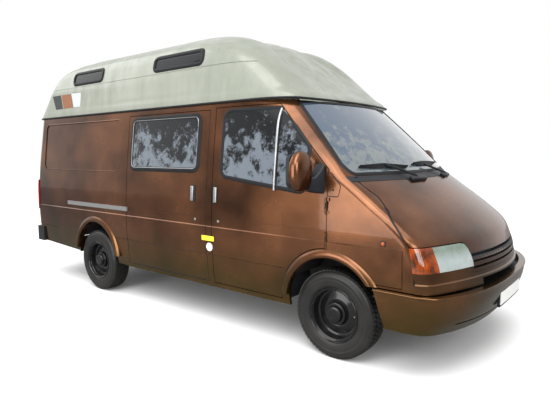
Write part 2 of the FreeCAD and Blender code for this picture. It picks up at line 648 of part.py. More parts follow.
lamp_shell = outer.cut(body_form(size.lamp_depth, size.overrun))
lamp_low, lamp_high = size.lamp_low + size.seat_gap, size.bonnet_edge - size.gap
lamp_edge = [(-y, z - size.gap) for y, z in lamp_corner]
lamp_edge += [(-size.lamp_inner, lamp_low), (-size.lamp_split + size.seat_gap, lamp_low),
              (-size.lamp_split + size.seat_gap, lamp_high)]
lamp = lamp_shell.common(front_prism(lamp_edge))
keep("headlamps", both_sides(lamp))
indicator = lamp_shell.common(box((front_axle, front_end), (-far, -size.lamp_split), (lamp_low, lamp_high)))
indicator = indicator.common(nose_front)
keep("front_indicators", both_sides(indicator))

# Rear frame round the twin doors.
rear_zone = box((rear_face - size.overrun, rear_split), (-far, far), (size.sill_height, top))
rear_opening = box((rear_face - size.overrun, rear_split), (-size.rear_door_half, size.rear_door_half),
                   (size.rear_door_low, size.rear_door_high))
sill_cut_both = sill_cut.fuse(mirrored(sill_cut))
rear_frame = panel_shell.common(rear_zone).cut(rear_opening).cut(sill_cut_both)
leaf_zone = box((rear_face - size.overrun, rear_split), (-size.rear_door_half + size.gap, -half_gap),
                (size.rear_door_low + size.gap, size.rear_door_high - size.gap))
rear_pane_points = [vector(0, -size.rear_pane_outer, size.rear_pane_low),
                    vector(0, -size.rear_pane_inner, size.rear_pane_low),
                    vector(0, -size.rear_pane_inner, size.rear_pane_high),
                    vector(0, -size.rear_pane_outer, size.rear_pane_high)]
rear_pane_hole = rounded_prism(rear_pane_points, size.pane_radius, vector(rear_face - size.overrun, 0, 0),
                               ahead * (size.overrun + size.rear_post))
leaf = panel_shell.common(leaf_zone).cut(rear_pane_hole)
leaf_axis_y = -size.rear_door_half + size.gap
hinge_depth = (rear_face + size.gap, rear_face + size.wall - size.gap)
for place in (size.rear_hinge_low, size.rear_hinge_high):
    moving = (hinge_depth, (leaf_axis_y, leaf_axis_y + size.hinge_leaf))
    fixed = (hinge_depth, (leaf_axis_y - size.hinge_leaf, leaf_axis_y - size.hinge_room))
    door_part, ears, pocket = hinge(rear_face, leaf_axis_y, place, moving, fixed)
    leaf = leaf.cut(pocket).fuse(door_part)
    for place_ears, place_pocket in ((ears, pocket), (mirrored(ears), mirrored(pocket))):
        rear_frame = rear_frame.cut(place_pocket).fuse(place_ears)
keep("rear_frame", rear_frame)
keep("rear_door_right", leaf)
keep("rear_door_left", mirrored(leaf))
rear_pane = glass_shell.common(rear_pane_hole)
keep("rear_door_glass_right", rear_pane)
keep("rear_door_glass_left", mirrored(rear_pane))
tail_lamp = body_form(-size.tail_lamp_depth, 0).cut(outer)
tail_lamp = tail_lamp.common(box((rear_face - size.overrun, rear_face + size.tail_lamp_wrap),
                                 (-far, -size.tail_lamp_inner), (size.tail_lamp_low, size.tail_lamp_high)))
keep("tail_lamps", both_sides(tail_lamp))


# Front bumper: a bowed wrap that ends at the wheel arches. Each row gives, as shares, height,
# half width and how far the outline is drawn back.
bumper_rows_share = [
    (0.0, 0.969, 1.00),
    (0.3, 0.985, 0.43),
    (0.7, 0.997, 0.08),
    (1.0, 1.000, 0.00),
]


def bumper_wire(height, inset):
    """The front bumper's outline at a height."""
    level = (height - size.bumper_low) / (size.bumper_high - size.bumper_low)
    row = read_row(bumper_rows_share, min(max(level, 0), 1))
    front = aft(-size.bumper_ahead) - row[2] * size.bumper_drop
    return plan_wire(height, row[1] * size.bumper_half, front, 0, size.bumper_corner, size.bumper_run,
                     size.rear_corner, size.bumper_bow, 3, inset)


def bumper_form(inset):
    """The front bumper's outline stack; its foot is drawn back under it."""
    steps = 8
    rise = size.bumper_high - size.bumper_low
    return stack([bumper_wire(size.bumper_low + rise * i / steps, inset) for i in range(steps + 1)])


bumper_hollow = bumper_form(size.bumper_wall)
bumper_ends = side_prism([(aft(-size.bumper_end_ahead), size.bumper_high + size.gap),
                          (front_end + size.overrun, size.bumper_high + size.gap),
                          (front_end + size.overrun, size.bumper_low - size.gap),
                          (aft(-size.bumper_foot_ahead), size.bumper_low - size.gap)], -1)
bumper_ends = bumper_ends.fuse(mirrored(bumper_ends))
groove_levels = (size.bumper_groove_low, size.bumper_groove_high)
bumper_groove = box((front_axle, front_end + size.overrun),
                    (-size.bumper_groove_half, size.bumper_groove_half), groove_levels)
bumper_groove = bumper_groove.cut(Part.makeLoft([bumper_wire(height, size.bumper_groove_depth)
                                                 for height in groove_levels], True, True))
keep("front_bumper", bumper_form(0).cut(bumper_hollow).common(bumper_ends).cut(bumper_groove))

# Rear bumper, seated on the body's tail and wrapped round its corners.
rear_tip = rear_face - size.rear_bumper_depth


def tail_wire(height):
    return plan_wire(height, size.rear_bumper_half, 0, rear_tip, size.corner_reach, size.corner_run,
                     size.rear_bumper_corner, 0, 2, 0)


rear_bumper = stack([tail_wire(size.rear_bumper_low), tail_wire(size.rear_bumper_high)])
rear_bumper = rear_bumper.common(box((rear_tip, rear_face + size.rear_bumper_wrap), (-far, far), (0, top)))
keep("rear_bumper", rear_bumper.cut(outer))

# High roof: each row gives, as shares, height, half width, nose run, corner reach and run,
# tail run and tail corner.
roof_rows_share = [
    (0.000, 1.000, 0.000, 0.40, 0.95, 0.000, 0.25),
    (0.048, 0.996, 0.011, 0.43, 0.95, 0.010, 0.26),
    (0.151, 0.987, 0.085, 0.50, 1.00, 0.038, 0.28),
    (0.283, 0.975, 0.159, 0.58, 1.00, 0.068, 0.31),
    (0.429, 0.965, 0.241, 0.66, 1.00, 0.105, 0.35),
    (0.561, 0.948, 0.322, 0.74, 1.00, 0.145, 0.40),
    (0.685, 0.925, 0.411, 0.80, 1.00, 0.190, 0.46),
    (0.790, 0.880, 0.500, 0.84, 1.00, 0.255, 0.52),
    (0.865, 0.810, 0.590, 0.86, 1.00, 0.350, 0.60),
    (0.920, 0.720, 0.690, 0.84, 0.95, 0.470, 0.70),
    (0.960, 0.600, 0.800, 0.76, 0.90, 0.640, 0.72),
    (0.985, 0.460, 0.900, 0.64, 0.80, 0.820, 0.66),
    (1.000, 0.300, 1.000, 0.45, 0.60, 1.000, 0.45),
]


# The ribs on the roof's nose rise between the first two levels and fade below the top.
rib_foot_share, rib_full_share, rib_fade_share = 0.18, 0.55, 0.10


def roof_wire(level, height, inset):
    """The high roof's outline at a level, which is a share of its rise."""
    row = read_row(roof_rows_share, level)
    grown = max((level - rib_foot_share) / (rib_full_share - rib_foot_share), 0)
    grown = min(grown, 1, (1 - level) / rib_fade_share)
    # A trace of the wave stays at the foot, so that all outlines are built alike.
    rib = size.rib_depth * max(grown * grown * (3 - 2 * grown), size.seat_gap / size.rib_depth)
    return plan_wire(height, row[1] * size.roof_half, aft(size.roof_nose) - row[2] * size.roof_slope_run,
                     rear_face + row[5] * size.roof_rear_run, row[3] * size.roof_corner,
                     row[4] * size.roof_side_run, row[6] * size.roof_corner, size.roof_bow, 2, inset, rib)


def roof_form(inset, drop, overrun):
    """The high roof's outer form, or its hollow when inset and lowered."""
    steps, crowding = 26, 1.6
    wires = []
    for i in range(steps + 1):
        level = 1 - (1 - i / steps) ** crowding
        height = size.seam_height - overrun + level * (size.roof_height - drop + overrun)
        wires.append(roof_wire(level, height, inset))
    return stack(wires)


roof = roof_form(0, 0, 0)
roof_hollow = roof_form(size.roof_wall, size.roof_wall, size.overrun)
roof = roof.cut(roof_hollow)
roof_panes = []
roof_skin = roof_form(0, 0, 0).cut(roof_form(size.glass, size.glass, size.overrun))
for front, rear in ((size.roof_front_pane_front, size.roof_front_pane_rear),
                    (size.roof_rear_pane_front, size.roof_rear_pane_rear)):
    hole = side_prism(rectangle(front, rear, size.roof_pane_low, size.roof_pane_high), -1,
                      size.roof_pane_radius)
    for one in (hole, mirrored(hole)):
        roof = roof.cut(one)
        roof_panes.append(roof_skin.common(one))
crease_levels = (size.roof_crease_height - size.roof_crease_width / 2,
                 size.roof_crease_height + size.roof_crease_width / 2)
crease = box((aft(size.roof_crease_rear), aft(size.roof_crease_front)), (-far, far), crease_levels)
crease_wires = [roof_wire((height - size.seam_height) / size.roof_height, height, size.roof_crease_depth)
                for height in crease_levels]
crease = crease.cut(Part.makeLoft(crease_wires, True, True))
keep("high_roof", roof.cut(crease))
keep("roof_windows", Part.makeCompound(roof_panes))


def words(text):
    """An expression on the sheet's sizes from plain size names."""
    text = text.replace("front_axle", "(body_length / 2 - front_overhang)")
    text = text.replace("rear_axle", "(body_length / 2 - front_overhang - wheelbase)")
    out, name = "", ""
    for letter in text + " ":
        if letter.isalpha() or letter == "_":
            name += letter
        else:
            out += ("Sizes." + name if name else "") + letter
            name = ""
    return out.strip()


def block(label, x, y, z):
    """A parametric block; each pair of texts gives its low and high place on an axis."""
    item = doc.addObject("Part::Box", label)
    item.Label = label
    for side, base, pair in (("Length", "x", x), ("Width", "y", y), ("Height", "z", z)):
        item.setExpression(side, words("(%s) - (%s)" % (pair[1], pair[0])))
        item.setExpression("Placement.Base." + base, words(pair[0]))
    return item


def turned_body(label, profile, axle, middle, outward):
    """A wheel piece revolved about its axle from a profile of radius and reach expressions."""
    body = doc.addObject("PartDesign::Body", label)
    body.Label = label
    sketch = body.newObject("Sketcher::SketchObject", label + "_profile")
    plane = next(item for item in body.Origin.OriginFeatures if item.Role == "XY_Plane")
    sketch.AttachmentSupport = [(plane, "")]
    sketch.MapMode = "FlatFace"
    points = []
    for radius, reach in profile:
        points.append((evaluate(radius), evaluate(reach)))
    corners = len(points)
    for i in range(corners):
        start, end = points[i], points[(i + 1) % corners]
        sketch.addGeometry(Part.LineSegment(vector(*start, 0), vector(*end, 0)), False)
    for i in range(corners):
        sketch.addConstraint(Sketcher.Constraint("Coincident", i, 2, (i + 1) % corners, 1))
    for i, (radius, reach) in enumerate(profile):
        for kind, text, value in (("DistanceX", radius, points[i][0]), ("DistanceY", reach, points[i][1])):
            if value == 0:
                on_axis = -2 if kind == "DistanceX" else -1
                sketch.addConstraint(Sketcher.Constraint("PointOnObject", i, 1, on_axis))
                continue
            place = sketch.addConstraint(Sketcher.Constraint(kind, -1, 1, i, 1, value))
            sketch.setExpression("Constraints[%d]" % place, words(text))
    turn = body.newObject("PartDesign::Revolution", label + "_turn")
    turn.Profile = sketch
    turn.ReferenceAxis = (sketch, ["V_Axis"])
    turn.Angle = 360
    body.Placement = FreeCAD.Placement(vector(axle, middle * outward, size.tyre_radius),
                                       FreeCAD.Rotation(up, 180 if outward < 0 else 0))
    return body


def evaluate(text):
    """The value of an expression on plain size names."""
    return float(sheet.evalExpression(words(text)))


# The tyre's outer section from bead to crown, as shares of its radius and width.
tyre_section_share = [(0.62, 0.455), (0.70, 0.490), (0.79, 0.500), (0.88, 0.494), (0.94, 0.468),
                      (0.975, 0.420), (0.993, 0.360), (1.0, 0.290)]
tyre_profile = [("rim_radius", "-tyre_width * 0.43")]
tyre_profile += [("tyre_radius * %s" % radius, "-tyre_width * %s" % reach)
                 for radius, reach in tyre_section_share]
tyre_profile += [("tyre_radius * %s" % radius, "tyre_width * %s" % reach)
                 for radius, reach in reversed(tyre_section_share)]
tyre_profile += [("rim_radius", "tyre_width * 0.43")]
rim_profile = [("rim_radius", "-tyre_width * 0.43"), ("rim_radius", "tyre_width * 0.43"),
               ("rim_radius * 0.95", "tyre_width * 0.43"), ("rim_radius * 0.92", "tyre_width * 0.1"),
               ("rim_radius * 0.8", "tyre_width * 0.12"), ("rim_radius * 0.42", "tyre_width * 0.2"),
               ("rim_radius * 0.4", "tyre_width * 0.27"), ("rim_radius * 0.29", "tyre_width * 0.27"),
               ("rim_radius * 0.28", "tyre_width * 0.4"), ("rim_radius * 0.22", "tyre_width * 0.42"),
               ("0", "tyre_width * 0.42"), ("0", "spindle_reach + gap"),
               ("bore_radius", "spindle_reach + gap"), ("bore_radius", "-hub_reach"),
               ("rim_radius * 0.34", "-hub_reach"), ("rim_radius * 0.36", "tyre_width * 0.14"),
               ("rim_radius * 0.8", "tyre_width * 0.06"), ("rim_radius * 0.93", "tyre_width * 0.04"),
               ("rim_radius * 0.93", "-tyre_width * 0.43")]

wheels = {"front_right": (front_axle, -1, size.front_wheel_out),
          "front_left": (front_axle, 1, size.front_wheel_out),
          "rear_right": (rear_axle, -1, size.rear_wheel_out),
          "rear_left": (rear_axle, 1, size.rear_wheel_out)}
for corner, (axle, outward, reach) in wheels.items():
    middle = reach - size.tyre_width / 2
    for kind, profile in (("tyre", tyre_profile), ("rim", rim_profile)):
        label = kind + "_" + corner
        pieces[label] = turned_body(label, profile, axle, middle, outward)

# Front axle: a dropped beam with an eye at each end for the king pin.
hub_height = size.tyre_radius
half_beam = size.beam_height / 2
beam_level = size.king_pin_out - size.eye_radius - size.gap
beam_points = [(size.king_pin_out, 0), (beam_level, 0), (size.beam_straight, -size.beam_drop),
               (-size.beam_straight, -size.beam_drop), (-beam_level, 0), (-size.king_pin_out, 0)]
beam_edge = [vector(0, y, hub_height + drop + half_beam) for y, drop in beam_points]
beam_edge += [vector(0, y, hub_height + drop - half_beam) for y, drop in reversed(beam_points)]
beam = Part.Face(Part.makePolygon(beam_edge + beam_edge[:1])).extrude(ahead * size.beam_width)
beam.translate(vector(front_axle - size.beam_width / 2, 0, 0))
eye_low, eye_high = hub_height - half_beam, hub_height + half_beam


def king_rod(low, high, radius, side=-1):
    y = side * size.king_pin_out
    return rod(vector(front_axle, y, low), vector(front_axle, y, high), radius)


for side in (-1, 1):
    beam = beam.fuse(king_rod(eye_low, eye_high, size.eye_radius, side))
for side in (-1, 1):
    beam = beam.cut(king_rod(eye_low - size.gap, eye_high + size.gap,
                             size.king_pin_radius + size.bearing_gap, side))
beam_top = hub_height - size.beam_drop + half_beam
keep("front_axle", beam)

# Knuckles: a yoke on the king pin carrying the stub axle.
wheel_middle = size.front_wheel_out - size.tyre_width / 2
post_in = size.king_pin_out + size.eye_radius + size.gap
yoke_low, yoke_high = eye_low - size.yoke_gap - size.ear_height, eye_high + size.yoke_gap + size.ear_height
knuckle = king_rod(yoke_low, yoke_high, size.king_pin_radius)
for low in (yoke_low, eye_high + size.yoke_gap):
    ear = king_rod(low, low + size.ear_height, size.eye_radius)
    ear = ear.fuse(box((front_axle - size.eye_radius, front_axle + size.eye_radius),
                       (-post_in - size.post_width, -size.king_pin_out), (low, low + size.ear_height)))
    knuckle = knuckle.fuse(ear)
knuckle = knuckle.fuse(box((front_axle - size.eye_radius, front_axle + size.eye_radius),
                           (-post_in - size.post_width, -post_in), (yoke_low, yoke_high)))
stub_radius = size.bore_radius - size.bearing_gap
knuckle = knuckle.fuse(rod(vector(front_axle, -post_in, hub_height),
                           vector(front_axle, -wheel_middle - size.spindle_reach, hub_height), stub_radius))
keep("knuckle_right", knuckle)
keep("knuckle_left", mirrored(knuckle))

# Rear axle: tube, round differential housing and brake drums, with stubs for the hubs.
rear_middle = size.rear_wheel_out - size.tyre_width / 2
drum_out = rear_middle - size.hub_reach - size.gap
tube = rod(vector(rear_axle, -drum_out, hub_height), vector(rear_axle, drum_out, hub_height), size.axle_tube)
bulb = Part.makeSphere(size.diff_radius, vector(rear_axle, 0, hub_height + size.diff_lift))
tube = tube.fuse(bulb)
pad_top = hub_height + size.axle_tube + size.spring_pad
for side in (-1, 1):
    tube = tube.fuse(rod(vector(rear_axle, side * (drum_out - size.drum_width), hub_height),
                         vector(rear_axle, side * drum_out, hub_height), size.drum_radius))
    stub_end = vector(rear_axle, side * (rear_middle + size.spindle_reach), hub_height)
    tube = tube.fuse(rod(vector(rear_axle, side * drum_out, hub_height), stub_end, stub_radius))
    y = side * size.rail_half
    tube = tube.fuse(box((rear_axle - size.axle_tube, rear_axle + size.axle_tube),
                         (y - size.leaf_width / 2, y + size.leaf_width / 2), (hub_height, pad_top)))
keep("rear_axle", tube)

# Leaf springs: an upward-curving stack under each rail, hung by an eye at both ends.
springs = []
for axle, seat in ((front_axle, beam_top), (rear_axle, pad_top)):
    eye_height = size.rail_bottom - size.leaf_eye
    low = [vector(axle - size.leaf_half, 0, eye_height - size.leaf_stack / 2), vector(axle, 0, seat),
           vector(axle + size.leaf_half, 0, eye_height - size.leaf_stack / 2)]
    high = [point + up * size.leaf_stack for point in low]
    band = Part.Wire([Part.Arc(*low).toShape(), Part.LineSegment(low[2], high[2]).toShape(),
                      Part.Arc(*reversed(high)).toShape(), Part.LineSegment(high[0], low[0]).toShape()])
    leaf_spring = Part.Face(band).extrude(left * size.leaf_width)
    leaf_spring.translate(vector(0, -size.leaf_width / 2, 0))
    for end in (-1, 1):
        centre = vector(axle + end * size.leaf_half, 0, eye_height)
        half_width = left * (size.leaf_width / 2)
        leaf_spring = leaf_spring.fuse(rod(centre - half_width, centre + half_width, size.leaf_eye))
    for side in (-1, 1):
        placed = leaf_spring.copy()
        placed.translate(left * (side * size.rail_half))
        springs.append(placed)
keep("leaf_springs", Part.makeCompound(springs))

# Chassis: two channel rails tied by cross members, with a drilled plate for a tow bar.
rail_top = size.rail_bottom + size.rail_height
rail_rear, rail_front = rear_face + size.wall, front_end
rail_in, rail_out = size.rail_half - size.rail_width / 2, size.rail_half + size.rail_width / 2
rail = box((rail_rear, rail_front), (-rail_out, -rail_in), (size.rail_bottom, rail_top))
channel = box((rail_rear, rail_front), (-rail_out + size.rail_wall, -rail_in),
              (size.rail_bottom + size.rail_wall, rail_top - size.rail_wall))
rail = rail.cut(channel)
chassis = rail.fuse(mirrored(rail))
cross_places = [rear_face + size.wall + size.cross_width, rear_axle - size.well_radius - size.cross_width,
                rear_axle + size.well_radius + size.cross_width, aft(size.seat_front_aft + size.seat_depth)]
for place in cross_places:
    chassis = chassis.fuse(box((place - size.cross_width / 2, place + size.cross_width / 2),
                               (-rail_in, rail_in), (size.rail_bottom, rail_top)))
gear_end = vector(aft(size.gearbox_length), 0, size.gearbox_height - size.gearbox_radius)


def prop_shaft(radius):
    """The propeller shaft from the gearbox's tail to the differential's housing."""
    diff_middle = vector(rear_axle, 0, hub_height + size.diff_lift)
    return rod(diff_middle, gear_end, radius).cut(bulb)


chassis = chassis.cut(prop_shaft(size.prop_radius + size.shaft_room))
engine_bearer = aft(-size.engine_rear_ahead) + size.engine_length / 2
chassis = chassis.fuse(box((engine_bearer - size.cross_width / 2, engine_bearer + size.cross_width / 2),
                           (-rail_out, rail_out), (size.rail_bottom - size.rail_width, size.rail_bottom)))
tow_x = aft(size.tow_hole_aft)
for side in (-1, 1):
    y = side * size.rail_half
    chassis = chassis.fuse(box((tow_x - size.tow_plate_length / 2, tow_x + size.tow_plate_length / 2),
                               (y - size.rail_width / 2, y + size.rail_width / 2),
                               (size.rail_bottom - size.tow_plate, size.rail_bottom)))
    for end in (-1, 1):
        x = tow_x + end * size.tow_hole_spacing / 2
        hole_top = vector(x, y, size.rail_bottom + size.rail_height / 2)
        hole_foot = vector(x, y, size.rail_bottom - size.overrun)
        chassis = chassis.cut(rod(hole_foot, hole_top, size.tow_hole_radius))
front_reach = bumper_hollow.fuse(box((rear_end, front_axle + size.arch_radius), (-far, far), (0, top)))
keep("chassis_frame", chassis.common(front_reach))

# Floor, wheel wells and firewall fill the hollow of the shell, clear of the front doors.
door_room = side_prism(door_outline(0), -1).cut(body_form(size.wall + size.gap, size.overrun))
door_room = door_room.fuse(mirrored(door_room))
floor_high = rail_top + size.floor_thickness
inside = hollow.common(box((rear_face, aft(-size.firewall_ahead - size.firewall_wall)), (-far, far),
                           (rail_top, top)))
floor = inside.common(box((rear_end, front_end), (-far, far), (rail_top, floor_high)))


def well(axle, inner_y, radius, side):
    start = vector(axle, side * inner_y, size.arch_height)
    return Part.makeCylinder(radius, far - inner_y, start, left * side)


well_zone = hollow.common(box((rear_end, front_end), (-far, far), (rail_top, top)))
houses = []
for axle, inner_y in ((front_axle, size.front_well_inner), (rear_axle, size.rear_well_inner)):
    for side in (-1, 1):
        floor = floor.cut(well(axle, inner_y - size.well_wall - size.seat_gap,
                               size.well_radius + size.seat_gap, side))
        house = well(axle, inner_y - size.well_wall, size.well_radius, side)
        house = house.cut(well(axle, inner_y, size.well_radius - size.well_wall, side))
        houses.append(house.common(well_zone))
front_wings = Part.makeCompound([p.Shape for n, p in pieces.items() if n.startswith("front_wing")])
keep("wheel_houses", Part.makeCompound([house.cut(front_wings).cut(door_room) for house in houses]))
keep("floor_pan", floor.cut(front_wings).cut(door_room))
firewall = inside.common(box((aft(-size.firewall_ahead), aft(-size.firewall_ahead - size.firewall_wall)),
                             (-far, far), (floor_high, size.firewall_high)))
for side in (-1, 1):
    firewall = firewall.cut(well(front_axle, size.front_well_inner - size.well_wall - size.seat_gap,
                                 size.well_radius + size.seat_gap, side))
keep("firewall", firewall.cut(door_room))

# Engine with its gearbox, propeller shaft, tank, exhaust.
engine = block("engine",
               ("front_axle + engine_rear_ahead", "front_axle + engine_rear_ahead + engine_length"),
               ("-engine_width / 2", "engine_width / 2"), ("rail_bottom", "rail_bottom + engine_height"))
pieces["engine"] = engine
prop_start = vector(aft(-size.engine_rear_ahead), 0, size.gearbox_height - size.gearbox_radius)
gearbox = rod(prop_start, gear_end, size.gearbox_radius)
keep("driveline", gearbox.fuse(prop_shaft(size.prop_radius)))
tank = block("fuel_tank", ("front_axle - tank_aft - tank_length", "front_axle - tank_aft"),
             ("rail_half + rail_width / 2", "rail_half + rail_width / 2 + tank_width"),
             ("rail_bottom + rail_height - tank_height", "rail_bottom + rail_height"))
pieces["fuel_tank"] = tank
pipe_start = vector(aft(-size.engine_rear_ahead), size.exhaust_out, size.exhaust_height)
pipe_end = vector(aft(size.exhaust_tail_aft), size.exhaust_out, size.exhaust_height)
exhaust = rod(pipe_start, pipe_end, size.exhaust_radius)
box_start = vector(aft(size.silencer_aft), size.exhaust_out, size.exhaust_height - size.silencer_drop)
exhaust = exhaust.fuse(rod(box_start, box_start - ahead * size.silencer_length, size.silencer_radius))
for place in cross_places:
    if place < aft(0) and place > pipe_end.x:
        exhaust = exhaust.fuse(rod(vector(place, size.exhaust_out, size.exhaust_height),
                                   vector(place, size.exhaust_out, size.rail_bottom), size.hanger_radius))
keep("exhaust", exhaust)

# Cab: dashboard against the firewall, steering wheel on its column, two seats.
dash = box((aft(-size.firewall_ahead) - size.dash_depth, aft(-size.firewall_ahead)),
           (-size.dash_half, size.dash_half), (size.dash_low, size.dash_high))
dash_edges = [edge for edge in dash.Edges
              if edge.BoundBox.XMax - dash.BoundBox.XMin < size.seat_gap
              and edge.BoundBox.ZLength < size.seat_gap]
dash = dash.makeFillet(size.dash_round, dash_edges)
tilt = math.radians(size.hoop_tilt)
column_way = vector(-math.cos(tilt), 0, math.sin(tilt))
hoop_middle = vector(aft(size.hoop_aft), size.hoop_out, size.hoop_height)
hoop = Part.makeTorus(size.hoop_radius, size.hoop_tube, hoop_middle, column_way)
hoop = hoop.fuse(rod(hoop_middle - column_way * size.hoop_hub, hoop_middle + column_way * size.hoop_tube,
                     size.hoop_hub))
spoke_way = column_way.cross(left).normalize()
for turn in range(3):
    way = FreeCAD.Rotation(column_way, 90 + 120 * turn).multVec(spoke_way)
    hoop = hoop.fuse(rod(hoop_middle, hoop_middle + way * size.hoop_radius, size.hoop_tube / 2))
keep("steering_wheel", hoop)
steering_column = rod(hoop_middle - column_way * (size.hoop_hub + size.bearing_gap),
                      hoop_middle - column_way * size.dash_depth, size.column_radius).cut(dash)
keep("dashboard", dash.fuse(steering_column))
seats = []
for side in (-1, 1):
    y = side * size.seat_out
    low, high = y - size.seat_width / 2, y + size.seat_width / 2
    front = aft(size.seat_front_aft)
    rear = front - size.seat_depth
    base_top = floor_high + size.seat_base
    seat = box((rear, front), (low + size.dash_round, high - size.dash_round), (floor_high, base_top))
    seat = seat.fuse(box((rear, front), (low, high), (base_top, base_top + size.seat_cushion)))
    seat = seat.fuse(box((rear - size.seat_back_width, rear), (low, high),
                         (base_top, base_top + size.seat_back_height)))
    seats.append(seat)
keep("cab_seats", Part.makeCompound(seats))

# Door mirrors: a rounded housing on two arms from the door's front corner.
mirror_front = aft(size.mirror_aft)
housing = box((mirror_front - size.mirror_depth, mirror_front),
              (-size.mirror_out, -size.mirror_out + size.mirror_width),
              (size.mirror_low, size.mirror_low + size.mirror_height))
housing = housing.makeFillet(size.mirror_round, housing.Edges)
for height in (size.arm_low, size.arm_high):
    start = vector(aft(size.arm_aft), -size.half_width + size.wall, height)
    end = vector(mirror_front - size.mirror_depth / 2, -size.mirror_out + size.mirror_width / 2, height)
    housing = housing.fuse(rod(start, end, size.arm_radius))
foot = box((aft(size.arm_aft) - size.foot_width, aft(size.arm_aft) + size.arm_radius),
           (-size.half_width - size.foot_proud, -size.half_width + size.wall),
           (size.foot_low, size.foot_high))
mirror = housing.fuse(foot).cut(outer)
keep("mirror_right", mirror)
keep("mirror_left", mirrored(mirror))

# Sliding door's rail and the filler cap on the right side.
rail_band = body_form(-size.rail_depth, 0).cut(outer)
keep("door_rail", rail_band.common(side_prism(rectangle(size.rail_front, size.rail_rear,
                                                        size.rail_low, size.rail_high), -1)))
filler_start = vector(aft(size.filler_aft), -far, size.filler_height)
filler = Part.makeCylinder(size.filler_radius, far, filler_start, left)
keep("filler_cap", body_form(-size.filler_depth, 0).cut(outer).common(filler))

doc.recompute()
for item in doc.Objects:
    if "Invalid" in item.State or "Error" in item.State:
        raise RuntimeError("failed: " + item.Label)
os.makedirs("parts", exist_ok=True)
for label, piece in pieces.items():
    shape = piece.Shape
    if shape.isNull() or not shape.isValid():
        raise RuntimeError("bad shape: " + label)
    shape.exportStep(os.path.join("parts", label + ".step"))
print("pieces:", len(pieces))
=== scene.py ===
import json
import math

import bmesh
import bpy
from mathutils import Matrix, Vector
from mathutils.bvhtree import BVHTree


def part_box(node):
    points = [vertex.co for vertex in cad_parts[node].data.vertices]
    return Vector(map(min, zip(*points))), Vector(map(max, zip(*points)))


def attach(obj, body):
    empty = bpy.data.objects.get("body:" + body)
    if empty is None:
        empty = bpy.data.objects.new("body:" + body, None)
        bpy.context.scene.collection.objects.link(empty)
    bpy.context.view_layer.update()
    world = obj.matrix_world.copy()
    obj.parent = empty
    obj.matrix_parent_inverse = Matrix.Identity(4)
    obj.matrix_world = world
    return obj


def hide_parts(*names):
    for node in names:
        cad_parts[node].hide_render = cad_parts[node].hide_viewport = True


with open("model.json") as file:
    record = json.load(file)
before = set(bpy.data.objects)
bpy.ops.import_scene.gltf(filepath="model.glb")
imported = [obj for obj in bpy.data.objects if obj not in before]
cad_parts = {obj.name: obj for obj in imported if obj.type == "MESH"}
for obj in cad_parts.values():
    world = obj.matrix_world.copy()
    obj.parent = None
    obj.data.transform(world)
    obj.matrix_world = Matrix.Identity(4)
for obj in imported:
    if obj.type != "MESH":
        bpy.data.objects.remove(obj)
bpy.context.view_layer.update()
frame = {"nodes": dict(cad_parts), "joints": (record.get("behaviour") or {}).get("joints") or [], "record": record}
nodes = frame["nodes"]
jointAt = {joint["name"]: Vector(joint["pos_m"]) for joint in frame["joints"]}
frontAxle = jointAt["wheel_front_right_spin"].x
rearAxle = jointAt["wheel_rear_right_spin"].x
tyreRadius = jointAt["wheel_front_right_spin"].z
bodyOf = {node: body for body, members in frame["record"]["behaviour"]["bodies"].items()
          for node in members}
hands = ((-1, "right"), (1, "left"))  # the side of the Y axis, and its name


def aft(distance):
    # The place along the van that lies this far behind the front axle.
    return frontAxle - distance


# Finishes: one function for each kind, on shared groups for grain and for a low-down mask: real dust on tyres,
# painted reflection on the brown paint.
paints = {
    "brown": (0.024, 0.009, 0.004), "brownFlake": (0.27, 0.108, 0.046), "greenReflection": (0.075, 0.066, 0.010),
    "cream": (0.235, 0.25, 0.208), "creamStainAndShade": (0.165, 0.185, 0.142), "rubber": (0.005, 0.005, 0.0055),
    "rubberDust": (0.020, 0.019, 0.017), "rubberWorn": (0.014, 0.015, 0.017),
    "blackEnamel": (0.002, 0.002, 0.0025), "underBlack": (0.008, 0.008, 0.008),
    "iron": (0.030, 0.026, 0.023), "rust": (0.06, 0.027, 0.014),
    "plastic": (0.005, 0.006, 0.008), "plasticWorn": (0.018, 0.020, 0.024), "amber": (0.34, 0.055, 0.003),
    "amberDark": (0.045, 0.011, 0.003), "red": (0.42, 0.012, 0.012), "redDark": (0.22, 0.006, 0.006),
    "clear": (0.50, 0.56, 0.57), "clearShade": (0.17, 0.23, 0.17), "glassTint": (0.004, 0.005, 0.006),
    "glassReflection": (0.125, 0.145, 0.170), "screenTint": (0.045, 0.075, 0.12), "screenReflection": (0.13, 0.15, 0.155),
    "alloy": (0.45, 0.46, 0.46), "alloyWorn": (0.42, 0.42, 0.41), "white": (0.62, 0.62, 0.59),
    "whiteWorn": (0.66, 0.66, 0.62), "cloth": (0.10, 0.085, 0.075), "clothLight": (0.17, 0.15, 0.13),
    "dust": (0.30, 0.26, 0.20), "yellow": (0.85, 0.72, 0.02), "yellowWorn": (0.70, 0.56, 0.02),
    "stripeGrey": (0.012, 0.014, 0.015), "stripeBrown": (0.22, 0.075, 0.020),
    "stripeBlue": (0.38, 0.44, 0.50), "stripeBlueWorn": (0.50, 0.53, 0.52),
    "trim": (0.030, 0.028, 0.026), "trimWorn": (0.045, 0.042, 0.038),
    "plate": (0.78, 0.79, 0.76), "plateWorn": (0.66, 0.67, 0.64), "bowl": (0.85, 0.88, 0.86),
    "bowlWorn": (0.55, 0.60, 0.56), "mirror": (0.75, 0.77, 0.78),
}


def startGroup(name, inputs, outputs):
    group = bpy.data.node_groups.new(name, "ShaderNodeTree")
    for kind, label, value in inputs:
        socket = group.interface.new_socket(label, in_out="INPUT", socket_type="NodeSocket" + kind)
        socket.default_value = value
    for kind, label in outputs:
        group.interface.new_socket(label, in_out="OUTPUT", socket_type="NodeSocket" + kind)
    return group, group.nodes.new("NodeGroupInput"), group.nodes.new("NodeGroupOutput")


